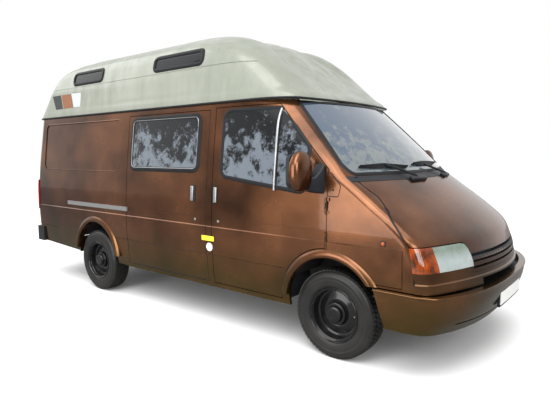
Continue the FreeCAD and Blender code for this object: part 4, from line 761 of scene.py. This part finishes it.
def roofStripe(bm, corners, side, material):
    # A four-cornered patch laid on the roof's side as a fine grid.
    a, b, c, d = (Vector(corner) for corner in corners)
    steps = roofTrim["stripeSteps"]
    grid = []
    for i in range(steps + 1):
        spots = [a.lerp(b, i / steps).lerp(d.lerp(c, i / steps), k / steps) for k in range(steps + 1)]
        places = [onSide(roofSkin, aft(spot.x), spot.y, side) for spot in spots]
        grid.append([bm.verts.new(point + normal * roofTrim["stripeLift"]) for point, normal in places])
    for first, second in zip(grid, grid[1:]):
        for k in range(steps):
            face = bm.faces.new((first[k], second[k], second[k + 1], first[k + 1]))
            face.material_index = material


def roofRib(bm, y):
    # A broad moulded rib that runs back from the roof's brow and fades out at both ends.
    rings = []
    for k in range(ribs["steps"] + 1):
        share = k / ribs["steps"]
        x = ribs["front"] + (ribs["rear"] - ribs["front"]) * share
        high = (ribs["high"] * math.sin(math.pi * min(1, share / ribs["fade"]) / 2)
                * math.cos(math.pi * share / 2))
        top, base = [], []
        for i in range(ribs["across"] + 1):
            across = 2 * i / ribs["across"] - 1
            point = onTop(roofSkin, x, y + across * ribs["half"])[0]
            lift = high * math.cos(math.pi * across / 2) ** 2 - ribs["sink"]
            top.append(bm.verts.new(point + Vector((0, 0, lift))))
            base.append(bm.verts.new(point - Vector((0, 0, ribs["base"]))))
        rings.append(top + base[::-1])
    joinRings(bm, rings, capped=True)


bm = bmesh.new()
sweep(bm, levelPath(sliceLoop("high_roof", roofTrim["seamHeight"])),
      bead(roofTrim["seamWidth"], roofTrim["seamHigh"]))
place("roof_drip_rubber", bm, "root", "seal")
for side, hand in hands:
    bm = bmesh.new()
    for kind, corners in enumerate(stripes):
        roofStripe(bm, corners, side, kind)
    recalc(bm)
    place("roof_stripes_" + hand, bm, "root", "stripe0", "stripe1", "stripe2")
bm = bmesh.new()
for y in ribs["places"]:
    roofRib(bm, y)
recalc(bm)
place("roof_ribs", bm, "root", "roof_cream", sharp=60)
print("roof trim made")

# Door furniture: pull handles, locks, side repeaters, a blank sticker.
handles = {"low": 1.083, "high": 1.214, "flap": (0.034, 0.014), "flapBevel": 0.006, "recess": (0.030, 0.004),
           "recessTall": 1.12, "recessShift": 0.0238, "recessBevel": 0.0018, "cab": 1.140, "slide": 1.432}
locks = {"cab": (1.109, 0.926), "slide": (1.398, 0.923),
         "profile": [(0, 0.004), (0.006, 0.004), (0.0065, 0.003), (0.009, 0.003), (0.0115, 0.0022),
                     (0.012, -0.003)]}
repeater = {"at": (-0.415, 0.909), "surround": (0.040, 0.036, 0.005), "lift": 0.001, "bevel": 0.0022,
            "profile": [(0, 0.010), (0.008, 0.009), (0.013, 0.006), (0.015, 0.000), (0.015, -0.003)]}
sticker = {"at": (1.235, 0.770), "size": (0.150, 0.042, 0.0016), "lift": 0.0004, "bevel": 0.0006}


def pullHandle(name, body, side, x, recessWay):
    middle = (handles["low"] + handles["high"]) / 2
    tall = handles["high"] - handles["low"]
    bm = bmesh.new()
    for (wide, high), shift, stretch, bevel, kind in (
            (handles["flap"], 0, 1, handles["flapBevel"], 0),
            (handles["recess"], handles["recessShift"], handles["recessTall"], handles["recessBevel"], 1)):
        point, normal = onSide(sideSkins[side], x + recessWay * shift, middle, side)
        block(bm, seatOn(point, normal, high / 2), (wide, tall * stretch, high), bevel, kind)
    place(name, bm, body, "rail_metal", "black_plastic")


def lockBarrel(name, body, side, spot):
    bm = button(locks["profile"], *onSide(sideSkins[side], aft(spot[0]), spot[1], side))
    place(name, bm, body, "rail_metal")


for side, hand in hands:
    pullHandle("cabHandle_" + hand, "door_front_" + hand, side, aft(handles["cab"]), -1)
    lockBarrel("cabLock_" + hand, "door_front_" + hand, side, locks["cab"])
    point, normal = onSide(sideSkins[side], aft(repeater["at"][0]), repeater["at"][1], side)
    bm = button(repeater["profile"], point, normal)
    block(bm, seatOn(point, normal, repeater["lift"]), repeater["surround"], repeater["bevel"], 1)
    place("repeater_" + hand, bm, "root", "lamp_amber", "black_plastic")
pullHandle("slideHandle", "root", -1, aft(handles["slide"]), 1)
lockBarrel("slideLock", "root", -1, locks["slide"])
bm = bmesh.new()
block(bm, seatOn(*onSide(sideSkins[-1], aft(sticker["at"][0]), sticker["at"][1], -1), sticker["lift"]),
      sticker["size"], sticker["bevel"])
place("blankSticker", bm, "root", "sticker")
print("door furniture made")

# Mirrors: an egg-shaped housing on a black foot, with glass towards the driver.
mirrors = {"middle": (1.5600, 1.113, 1.3745), "half": (0.0590, 0.104, 0.1400), "power": 2.6, "taper": 0.16,
           "rows": 28, "columns": 48, "glassShare": 0.84, "glassRound": 0.050, "glassProud": 0.002,
           "glassDeep": 0.030, "footRound": 0.014}
footShape = [(0.950, 1.575, 1.652, 1.212, 1.425), (0.978, 1.565, 1.640, 1.216, 1.375),
             (1.010, 1.545, 1.622, 1.224, 1.335), (1.062, 1.528, 1.600, 1.236, 1.322)]
pillarFlap = {"outline": [(1.678, 1.197), (1.768, 1.197), (1.783, 1.272), (1.744, 1.310), (1.678, 1.388)],
              "round": 0.016, "edge": (0.006, 0.0022), "screwAt": (1.722, 1.243),
              "screw": (0.013, 0.013, 0.006), "lift": 0.001, "bevel": 0.0028}


def eggPoint(turn, rise):
    ahead, out, up = mirrors["half"]

    def soft(value):
        return math.copysign(abs(value) ** (2 / mirrors["power"]), value)

    height = soft(math.sin(rise))
    narrow = 1 - mirrors["taper"] * max(0, height) ** 2
    return Vector((ahead * soft(math.cos(rise)) * soft(math.cos(turn)) * narrow,
                   out * soft(math.cos(rise)) * soft(math.sin(turn)) * narrow, up * height))


def rectangle(left, low, right, high):
    return [(left, low), (right, low), (right, high), (left, high)]


def mirrorHousing(middle):
    bm = bmesh.new()
    rows, columns = mirrors["rows"], mirrors["columns"]
    rings = [[bm.verts.new(middle + eggPoint(2 * math.pi * k / columns, math.pi * (i / rows - 0.5)))
              for k in range(columns)] for i in range(1, rows)]
    joinRings(bm, rings)
    for ring, share in ((rings[0], -1), (rings[-1], 1)):
        pole = bm.verts.new(middle + eggPoint(0, share * math.pi / 2))
        for k in range(columns):
            bm.faces.new((ring[k], ring[(k + 1) % columns], pole))
    recalc(bm)
    return bm


def mirrorFoot(side):
    bm = bmesh.new()
    rings = []
    for y, rear, ahead, low, high in footShape:
        outline = roundOutline(rectangle(rear, low, ahead, high), mirrors["footRound"], stride=1)
        rings.append([bm.verts.new((point.x, y * side, point.y)) for point in outline])
    joinRings(bm, rings, capped=True)
    recalc(bm)
    return bm


def mirrorPane(middle):
    bm = bmesh.new()
    ahead, out, up = (half * mirrors["glassShare"] for half in mirrors["half"])
    start = Vector((-mirrors["half"][0] - mirrors["glassProud"], 0, 0)) + middle
    outline = roundOutline(rectangle(-out, -up, out, up), mirrors["glassRound"], stride=1)
    front = [bm.verts.new(start + Vector((0, point.x, point.y))) for point in outline]
    back = [bm.verts.new(vertex.co + Vector((mirrors["glassDeep"], 0, 0))) for vertex in front]
    joinRings(bm, [front, back], capped=True)
    bm.faces.ensure_lookup_table()
    bm.faces[-2].material_index = 1
    recalc(bm)
    return bm


for side, hand in hands:
    body = "door_front_" + hand
    middle = Vector((mirrors["middle"][0], mirrors["middle"][1] * side, mirrors["middle"][2]))
    housing = place("mirror_housing_" + hand, mirrorHousing(middle), body, "paint_brown")
    place("mirror_foot_" + hand, mirrorFoot(side), body, "black_plastic")
    place("mirror_glass_" + hand, mirrorPane(middle), body, "black_plastic", "mirrorGlass")
    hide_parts("mirror_" + hand)
    bm = bmesh.new()
    outline = roundOutline(pillarFlap["outline"], pillarFlap["round"])
    path = [onSide(sideSkins[side], x, z, side) for x, z in outline]
    sweep(bm, path, bead(*pillarFlap["edge"]))
    block(bm, seatOn(*onSide(sideSkins[side], *pillarFlap["screwAt"], side), pillarFlap["lift"]),
          pillarFlap["screw"], pillarFlap["bevel"])
    place("pillar_flap_" + hand, bm, "root", "seal")
print("mirrors made")

# Wipers, their covers and the washer jets.
wipers = [{"pivot": (-0.270, 1.300), "knee": (-0.380, 1.352), "tip": (-0.500, 1.392),
           "blade": [(-0.745, 1.391), (-0.500, 1.398), (-0.241, 1.377)]},
          {"pivot": (0.330, 1.302), "knee": (0.190, 1.345), "tip": (0.050, 1.382),
           "blade": [(-0.127, 1.398), (0.120, 1.404), (0.425, 1.391)]}]
wiperLook = {"half": 0.024, "high": 0.022, "ends": 0.18, "fullness": 0.6, "lift": 0.010, "armLift": 0.012,
             "arm": (0.020, 0.014), "cover": (0.20, 0.046, 0.030), "coverShift": (0.02, -0.004),
             "coverBevel": 0.010, "jetAt": (0.831, 1.331), "jet": (0.022, 0.014, 0.010), "jetLift": 0.002,
             "jetBevel": 0.004, "steps": 20, "shoulder": (0.3, 0.6)}


def threePointPath(spots):
    path = []
    for k in range(wiperLook["steps"] + 1):
        share = 2 * k / wiperLook["steps"]
        i = min(int(share), 1)
        point, normal = onFront(frontSkin, *Vector(spots[i]).lerp(Vector(spots[i + 1]), share - i))
        path.append((point + normal * wiperLook["lift"], normal))
    return path


def wiperBlade(bm, path):
    # A ridged blade that is broad in its middle and narrow at both ends.
    ridge = wiperLook["high"]
    inner, share = wiperLook["shoulder"]
    last = len(path) - 1
    rings = []
    for i, (point, normal) in enumerate(path):
        fullness = math.sin(math.pi * i / last) ** wiperLook["fullness"]
        half = wiperLook["half"] * max(wiperLook["ends"], fullness)
        along = (path[min(i + 1, last)][0] - path[max(i - 1, 0)][0]).normalized()
        across = normal.cross(along).normalized()
        section = [(-1, 0), (-inner, ridge * share), (0, ridge), (inner, ridge * share), (1, 0),
                   (0, -wiperLook["lift"])]
        rings.append([bm.verts.new(point + across * u * half + normal * v) for u, v in section])
    joinRings(bm, rings, capped=True)


bm = bmesh.new()
for look in wipers:
    wiperBlade(bm, threePointPath(look["blade"]))
    arm = threePointPath([look["pivot"], look["knee"], look["tip"]])
    sweep(bm, [(point + normal * wiperLook["armLift"], normal) for point, normal in arm],
          bead(*wiperLook["arm"]), closed=False)
    shiftAcross, shiftUp = wiperLook["coverShift"]
    point, normal = onFront(frontSkin, look["pivot"][0] + shiftAcross, look["pivot"][1] + shiftUp)
    block(bm, seatOn(point, normal, wiperLook["lift"]), wiperLook["cover"], wiperLook["coverBevel"])
y, z = wiperLook["jetAt"]
for side, _ in hands:
    block(bm, seatOn(*onFront(frontSkin, y * side, z), wiperLook["jetLift"]), wiperLook["jet"],
          wiperLook["jetBevel"])
recalc(bm)
place("wipers", bm, "root", "black_plastic")
print("wipers made")

# Headlamps: a bright bowl behind thin fluted glass.
lamps = {"inner": 0.519, "outer": 0.834, "low": 0.746, "high": 0.900, "steps": 26, "dish": 0.050,
         "set": 0.006, "glassFacing": 0.35, "bowlFacing": 0.3, "glassThick": 0.003, "bowlThick": 0.002}


def lampGlass(side):
    bm = mergedCopy("headlamps")
    away = [face for face in bm.faces
            if face.normal.x < lamps["glassFacing"] or face.calc_center_median().y * side < 0]
    bmesh.ops.delete(bm, geom=away, context="FACES")
    bmesh.ops.solidify(bm, geom=bm.faces[:], thickness=lamps["glassThick"])
    recalc(bm)
    return bm


def lampBowl(side):
    skin = skinOf("headlamps")
    bm = bmesh.new()
    steps = lamps["steps"]
    grid = {}
    for i in range(steps + 1):
        for k in range(steps + 1):
            y = lamps["inner"] + (lamps["outer"] - lamps["inner"]) * i / steps
            z = lamps["low"] + (lamps["high"] - lamps["low"]) * k / steps
            point, normal = skin.ray_cast(Vector((outside["ahead"], y * side, z)), Vector((-1, 0, 0)))[:2]
            if point is not None and normal.x >= lamps["bowlFacing"]:
                curve = (1 - abs(2 * i / steps - 1) ** 3) * (1 - abs(2 * k / steps - 1) ** 3)
                grid[i, k] = bm.verts.new(point - Vector((lamps["set"] + lamps["dish"] * curve, 0, 0)))
    for i, k in grid:
        corners = [(i, k), (i + 1, k), (i + 1, k + 1), (i, k + 1)]
        if all(corner in grid for corner in corners):
            bm.faces.new([grid[corner] for corner in corners])
    bmesh.ops.solidify(bm, geom=bm.faces[:], thickness=lamps["bowlThick"])
    recalc(bm)
    return bm


for side, hand in hands:
    glass = place("headlamp_glass_" + hand, lampGlass(side), "root", "lamp_clear")
    place("headlamp_bowl_" + hand, lampBowl(side), "root", "reflector")
    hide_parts("headlamps")
print("lamps made")

# The bumper's lip and shelf, radiator, blank plates in black holders, rear handle, mud flaps.
frontFace = {"plateHeight": 0.485, "plate": (0.52, 0.11, 0.004), "plateLift": 0.006,
             "holder": (0.546, 0.136, 0.007), "sink": 0.01, "steps": 16, "lipHeight": 0.596,
             "lip": (0.016, 0.006), "shelfCut": 0.560, "shelfLow": 0.545, "shelfHigh": 0.555,
             "shelfInset": 0.020, "shelfNarrow": 0.985, "radiatorAt": (2.430, 0, 0.665),
             "radiator": (0.030, 0.88, 0.43), "radiatorBevel": 0.010}
rearFace = {"plateAt": (0.40, 0.98), "holder": (0.535, 0.126, 0.016), "holderLift": 0.004,
            "holderBevel": 0.006, "plate": (0.52, 0.11, 0.004), "plateLift": 0.013, "plateBevel": 0.0016,
            "handleAt": (-0.075, 1.150), "handle": (0.034, 0.131, 0.014),
            "handleLift": 0.007, "handleBevel": 0.006}
mudFlaps = {"behind": 0.418, "out": 0.760, "height": 0.460, "size": (0.010, 0.320, 0.180), "bevel": 0.004}
recessLip = {"outline": [(4.150, 1.314), (4.150, 1.846), (2.570, 1.846), (2.570, 1.314)], "round": 0.060,
             "edge": (0.012, 0.0022)}
bumperSkin = skinOf("front_bumper")
bm = bmesh.new()
for (wide, tall, thick), lift, kind in ((frontFace["holder"], 0.0, 0),
                                        (frontFace["plate"], frontFace["plateLift"], 1)):
    path = []
    for k in range(frontFace["steps"] + 1):
        point, normal = onFront(bumperSkin, wide * (k / frontFace["steps"] - 0.5), frontFace["plateHeight"])
        level = Vector((normal.x, normal.y, 0)).normalized()
        path.append((point + level * lift, level))
    sink = frontFace["sink"]
    sweep(bm, path, [(-tall / 2, -sink), (-tall / 2, thick), (tall / 2, thick), (tall / 2, -sink)],
          closed=False, material=kind)
place("front_plate", bm, "root", "black_plastic", "plate")
bm = bmesh.new()
sweep(bm, levelPath(sliceLoop("front_bumper", frontFace["lipHeight"])), bead(*frontFace["lip"]))
place("bumper_lip", bm, "root", "paint_brown")
bm = bmesh.new()
block(bm, Matrix.Translation(frontFace["radiatorAt"]), frontFace["radiator"], frontFace["radiatorBevel"])
place("radiator", bm, "root", "black_plastic")
for side, hand in hands:
    bm = bmesh.new()
    path = windowPath(sideSkins[side], recessLip["outline"], recessLip["round"], side)
    sweep(bm, path, bead(*recessLip["edge"]))
    place("recess_lip_" + hand, bm, "root", "paint_brown")

# Painted seam shadows: black strips along the doors and under the bonnet's sides, widening the dark shut lines.
seamShadows = {"stride": 0.040, "width": 0.008, "high": 0.0014, "bonnetWidth": 0.013,
         "cab": [(0.024, 0.835), (0.024, 1.384), (0.532, 1.880), (1.186, 1.880), (1.186, 0.382),
                 (0.455, 0.382)],
         "slide": [(1.259, 0.384), (2.428, 0.384), (2.428, 1.868), (1.259, 1.868)],
         "bonnet": [(-0.167, 1.298), (-0.310, 1.202), (-0.409, 1.118), (-0.496, 1.022), (-0.587, 0.910),
                    (-0.609, 0.817), (-0.637, 0.630)]}


def seamShadowStrip(name, body, skin, side, outline, width, closed=False):
    spots = spread([Vector(corner) for corner in outline], seamShadows["stride"], closed)
    bm = bmesh.new()
    path = [onSide(skin, aft(spot.x), spot.y, side) for spot in spots]
    sweep(bm, path, bead(width, seamShadows["high"]), closed=closed)
    place(name, bm, body, "seal")


for side, hand in hands:
    seamShadowStrip("cab_edge_" + hand, "door_front_" + hand, skinOf("front_door_" + hand), side, seamShadows["cab"],
              seamShadows["width"])
    noseSide = skinOf("front_wing_" + hand, "bonnet", "grille_panel", "front_indicators")
    seamShadowStrip("bonnet_edge_" + hand, "root", noseSide, side, seamShadows["bonnet"], seamShadows["bonnetWidth"])
seamShadowStrip("slide_edge", "root", skinOf("sliding_door"), -1, seamShadows["slide"], seamShadows["width"], True)
bm = bmesh.new()
for axle in (frontAxle, rearAxle):
    for side, _ in hands:
        block(bm, Matrix.Translation((axle - mudFlaps["behind"], side * mudFlaps["out"], mudFlaps["height"])),
              mudFlaps["size"], mudFlaps["bevel"])
place("mud_flaps", bm, "root", "black_plastic")
bm = bmesh.new()
for height in (frontFace["shelfLow"], frontFace["shelfHigh"]):
    for point in sliceLoop("front_bumper", frontFace["shelfCut"]):
        bm.verts.new((point.x - frontFace["shelfInset"], point.y * frontFace["shelfNarrow"], height))
bmesh.ops.convex_hull(bm, input=bm.verts)
place("bumper_shelf", bm, "root", "black_plastic")
bm = bmesh.new()
point, normal = onRear(rearSkins[1], *rearFace["plateAt"])
block(bm, seatOn(point, normal, rearFace["holderLift"]), rearFace["holder"], rearFace["holderBevel"])
block(bm, seatOn(point, normal, rearFace["plateLift"]), rearFace["plate"], rearFace["plateBevel"], 1)
place("rear_plate", bm, "door_rear_left", "black_plastic", "plate")
bm = bmesh.new()
block(bm, seatOn(*onRear(rearSkins[-1], *rearFace["handleAt"]), rearFace["handleLift"]), rearFace["handle"],
      rearFace["handleBevel"])
place("rear_handle", bm, "door_rear_right", "rail_metal")
print("edges and plates made")

# Tyres and rims: turned profiles of radii and reaches, tread blocks copied round.
wheelLook = {"blocks": 64, "blockHigh": 0.0090, "blockLong": 0.0255, "blockBevel": 0.0012, "ribWide": 0.0275,
             "blockTurn": 14, "ribs": (-0.066, -0.033, 0.0, 0.033, 0.066), "shoulderFrom": 0.05,
             "shoulderDrop": 0.003, "valveAt": (0.150, 0.030, 0), "valve": (0.012, 0.034, 0.012),
             "valveBevel": 0.005}
sidewall = [(0.3225, 0.073), (0.3190, 0.0800), (0.3120, 0.0880), (0.3020, 0.0945), (0.2900, 0.0990),
            (0.2800, 0.1008), (0.2780, 0.1020), (0.2755, 0.1020), (0.2740, 0.1012), (0.2600, 0.1020),
            (0.2540, 0.1022), (0.2530, 0.1034), (0.2505, 0.1034), (0.2495, 0.1020), (0.2350, 0.1010),
            (0.2200, 0.0985), (0.2080, 0.0950), (0.2000, 0.0900), (0.1900, 0.0880)]
rimFace = [(0.1860, 0.0880), (0.2000, 0.0925), (0.2040, 0.0950), (0.2050, 0.0975), (0.2030, 0.0995),
           (0.1990, 0.0990), (0.1950, 0.0950), (0.1930, 0.0890), (0.1900, 0.0820), (0.1810, 0.0790),
           (0.1770, 0.0720), (0.1760, 0.0400), (0.1700, 0.0240), (0.1580, 0.0180), (0.1300, 0.0240),
           (0.1100, 0.0320), (0.1000, 0.0340), (0.0920, 0.0310), (0.0880, 0.0300), (0.0860, 0.0340),
           (0.0840, 0.0520), (0.0800, 0.0580), (0.0720, 0.0600), (0.0640, 0.0600), (0.0620, 0.0640),
           (0.0600, 0.0800), (0.0560, 0.0850), (0.0440, 0.0880), (0.0380, 0.0885), (0.0370, 0.0870),
           (0.0300, 0.0870), (0.0000, 0.0872)]
rimBack = [(0.0000, 0.0360), (0.0240, 0.0360), (0.0240, -0.0450), (0.0626, -0.0450), (0.0700, 0.0100),
           (0.1500, 0.0060), (0.1660, 0.0080), (0.1700, -0.0800), (0.1860, -0.0880)]


def makeTread():
    bm = bmesh.new()
    for k, y in enumerate(wheelLook["ribs"]):
        shift = wheelLook["blockLong"] * (0.5 if k % 2 else 0.0)
        drop = wheelLook["shoulderDrop"] if abs(y) > wheelLook["shoulderFrom"] else 0.0
        turn = math.radians(wheelLook["blockTurn"]) * (1 if y < 0 else -1)
        seat = (Matrix.Rotation(shift / tyreRadius, 4, "Y")
                @ Matrix.Translation((0, y, tyreRadius - wheelLook["blockHigh"] / 2 - drop))
                @ Matrix.Rotation(turn, 4, "Z"))
        block(bm, seat, (wheelLook["blockLong"], wheelLook["ribWide"], wheelLook["blockHigh"]),
              wheelLook["blockBevel"], steps=1)
    return roundRow("treadRing", finishMesh("treadBlock", bm, "tyre_rubber"), wheelLook["blocks"],
                    finish["tyre_rubber"])


def settle(bm, matrix):
    bmesh.ops.transform(bm, matrix=matrix, verts=bm.verts)
    recalc(bm)


tread = makeTread()
for end, axle in (("front", frontAxle), ("rear", rearAxle)):
    for side, hand in hands:
        corner = end + "_" + hand
        low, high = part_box("tyre_" + corner)
        seat = Matrix.Translation((axle, (low.y + high.y) / 2, tyreRadius)) @ Matrix.Diagonal((1, side, 1, 1))
        bm = bmesh.new()
        lathe(bm, sidewall + [(radius, -reach) for radius, reach in reversed(sidewall)] + [sidewall[0]])
        lathe(bm, [(sidewall[-1][0], -sidewall[-1][1]), sidewall[-1]])
        bm.from_mesh(tread)
        settle(bm, seat)
        tyre = place("tyre_dressed_" + corner, bm, "wheel_" + corner, "tyre_rubber", sharp=40)
        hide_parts("tyre_" + corner)
        bm = bmesh.new()
        lathe(bm, rimBack + rimFace)
        block(bm, Matrix.Translation(wheelLook["valveAt"]), wheelLook["valve"], wheelLook["valveBevel"], 1)
        settle(bm, seat)
        rim = place("rim_dressed_" + corner, bm, "wheel_" + corner, "wheel_black", "rail_metal", sharp=35)
        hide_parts("rim_" + corner)
print("wheels made")

# Cab seats: padded cloth on a dark plinth.
seats = {"out": 0.470, "front": aft(0.560), "depth": 0.500, "width": 0.490, "plinth": (0.584, 0.884),
         "cushion": (0.884, 1.014), "cushionLift": 0.002, "back": (0.900, 1.524), "backThick": 0.110,
         "inset": 0.014, "cap": 0.012, "voxel": 0.012, "bevel": 0.036, "pressure": 4.0, "frames": 20,
         "plinthInset": 0.040, "plinthBevel": 0.020}


def blowUp(pad):
    # Cloth pressure swells the pad; no point may move further than the cap.
    rest = [vertex.co.copy() for vertex in pad.data.vertices]
    cloth = pad.modifiers.new("cloth", "CLOTH")
    cloth.settings.use_pressure = True
    cloth.settings.uniform_pressure_force = seats["pressure"]
    cloth.settings.effector_weights.gravity = 0
    for step in range(1, seats["frames"] + 1):
        bpy.context.scene.frame_set(step)
    blown = evaluated(pad)
    pad.modifiers.clear()
    for vertex, first in zip(blown.vertices, rest):
        move = vertex.co - first
        vertex.co = first + move * min(1, seats["cap"] / max(move.length, 1e-9))
    pad.data = blown
    bpy.context.scene.frame_set(1)


def makePad(name, low, high):
    # A rounded block with an even mesh, blown up and smoothed.
    bm = bmesh.new()
    block(bm, Matrix.Translation((low + high) / 2), high - low, seats["bevel"], steps=4)
    pad = finishMesh(name, bm, "seat_fabric")
    remesh = pad.modifiers.new("remesh", "REMESH")
    remesh.mode, remesh.voxel_size = "VOXEL", seats["voxel"]
    even = evaluated(pad)
    pad.modifiers.clear()
    pad.data = even
    blowUp(pad)
    finer = pad.modifiers.new("finer", "SUBSURF")
    finer.levels = finer.render_levels = 1
    smooth = evaluated(pad)
    pad.modifiers.clear()
    pad.data = smooth
    for polygon in smooth.polygons:
        polygon.use_smooth = True
    smooth.materials.clear()
    smooth.materials.append(finish["seat_fabric"])
    return pad


def padBox(kind):
    # The lowest and highest corners of the right seat's cushion or back.
    inset, middle = seats["inset"], -seats["out"]
    rear = seats["front"] - seats["depth"]
    low, high = seats[kind]
    start, end = (rear, seats["front"]) if kind == "cushion" else (rear - seats["backThick"], rear)
    lift = seats["cushionLift"] if kind == "cushion" else 0
    return (Vector((start + inset, middle - seats["width"] / 2 + inset, low + lift)),
            Vector((end - inset, middle + seats["width"] / 2 - inset, high - inset)))


for kind in ("cushion", "back"):
    pad = makePad("seat_%s_right" % kind, *padBox(kind))
    twin = pad.data.copy()
    for vertex in twin.vertices:
        vertex.co.y += 2 * seats["out"]
    for piece in (pad, addObject("seat_%s_left" % kind, twin)):
        rideOn(piece, "root")
bm = bmesh.new()
low, high = seats["plinth"]
for side, _ in hands:
    middle = (seats["front"] - seats["depth"] / 2, side * seats["out"], (low + high) / 2)
    block(bm, Matrix.Translation(middle),
          (seats["depth"] - 2 * seats["plinthInset"], seats["width"] - 2 * seats["plinthInset"], high - low),
          seats["plinthBevel"])
place("seat_plinths", bm, "root", "black_plastic")
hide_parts("cab_seats")
print("seats made")

# Stage: pale floor, soft light, the photograph's camera.
stage = {"cameraAt": (3.554, -3.849, 1.517), "turn": 39.07, "tilt": -5.73, "roll": -0.38, "lens": 32.09,
         "sensor": 36.0, "floorHalf": 60.0, "floorTone": 0.90, "floorGlow": 0.02, "floorSeen": 0.22,
         "floorRough": 0.9, "floorShine": 0.1, "sky": 1.0, "bandTone": 0.15,
         "bandHigh": 0.62, "bandFade": 0.45, "bandSide": (-0.25, 0.35), "sun": 1.6, "sunAngle": 45,
         "sunTurn": (12, 8, 0)}
softLights = {  # place, turn in degrees, size and power
    "keyLight": ((3.0, -7.5, 7.5), (46, 0, 22), 6.0, 500.0),
    "rearLight": ((-7.0, -3.0, 6.0), (55, 0, -68), 5.0, 150.0),
    "frontLight": ((6.5, -5.0, 3.2), (74, 0, 56), 3.0, 160.0),
    "wingLight": ((-0.2, -6.3, 1.7), (85, 0, -22), 3.0, 130.0),
}


def makeFloor():
    floorMesh = bpy.data.meshes.new("floor")
    half = stage["floorHalf"]
    floorMesh.from_pydata([(-half, -half, 0), (half, -half, 0), (half, half, 0), (-half, half, 0)], [],
                          [(0, 1, 2, 3)])
    tone = (*[stage["floorTone"]] * 3, 1)
    material, tree, principled = startMaterial("paleFloor", Roughness=stage["floorRough"],
                                               Specular_IOR_Level=stage["floorShine"],
                                               Emission_Color=tone,
                                               Emission_Strength=stage["floorGlow"])
    # The floor is pale, but shows as dark ground in the shine of paint and glass.
    shine = tree.nodes.new("ShaderNodeLightPath").outputs["Is Glossy Ray"]
    connect(tree, principled, Base_Color=blendColours(tree, shine, tone, [stage["floorSeen"]] * 3))
    floorMesh.materials.append(material)
    addObject("floor", floorMesh)


def makeWorld():
    # White all round; a dark screen stands low behind the camera, for paint and glass to show.
    world = bpy.data.worlds.new("studio")
    bpy.context.scene.world = world
    world.use_nodes = True
    tree = world.node_tree
    background = tree.nodes["Background"]
    background.inputs["Color"].default_value = (1.0, 1.0, 1.0, 1)
    split = addNode(tree, "ShaderNodeSeparateXYZ",
                    Vector=tree.nodes.new("ShaderNodeTexCoord").outputs["Generated"])
    turn = math.radians(stage["turn"])
    facing = maths(tree, "ADD", maths(tree, "MULTIPLY", split.outputs["X"], math.sin(turn)),
                   maths(tree, "MULTIPLY", split.outputs["Y"], -math.cos(turn)))
    band = maths(tree, "MULTIPLY", remap(tree, facing, *stage["bandSide"], 0.0, 1.0),
                 remap(tree, split.outputs["Z"], stage["bandHigh"] * stage["bandFade"], stage["bandHigh"],
                       1.0, 0.0))
    lift = remap(tree, band, 0.0, 1.0, stage["sky"], stage["bandTone"])
    seen = tree.nodes.new("ShaderNodeLightPath").outputs["Is Camera Ray"]
    tree.links.new(maths(tree, "MAXIMUM", lift, seen), background.inputs["Strength"])


def makeLights():
    for name, (spot, turn, size, power) in softLights.items():
        light = bpy.data.lights.new(name, "AREA")
        light.size, light.energy = size, power
        lamp = addObject(name, light)
        lamp.location = spot
        lamp.rotation_euler = [math.radians(angle) for angle in turn]
    sun = bpy.data.lights.new("softSun", "SUN")
    sun.energy, sun.angle = stage["sun"], math.radians(stage["sunAngle"])
    addObject("softSun", sun).rotation_euler = [math.radians(angle) for angle in stage["sunTurn"]]


def makeCamera():
    turn, tilt, roll = (math.radians(stage[key]) for key in ("turn", "tilt", "roll"))
    ahead = Vector((-math.sin(turn) * math.cos(tilt), math.cos(turn) * math.cos(tilt), math.sin(tilt)))
    right = ahead.cross(Vector((0, 0, 1))).normalized()
    above = right.cross(ahead)
    right, above = (right * math.cos(roll) + above * math.sin(roll),
                    above * math.cos(roll) - right * math.sin(roll))
    camera = bpy.data.cameras.new("camera")
    camera.sensor_width, camera.lens = stage["sensor"], stage["lens"]
    holder = addObject("camera", camera)
    turned = Matrix((right, above, -ahead)).transposed().to_4x4()
    holder.matrix_world = Matrix.Translation(stage["cameraAt"]) @ turned
    bpy.context.scene.camera = holder


makeFloor()
bpy.context.scene.view_settings.view_transform = "Standard"
makeWorld()
makeLights()
makeCamera()
print("stage made")
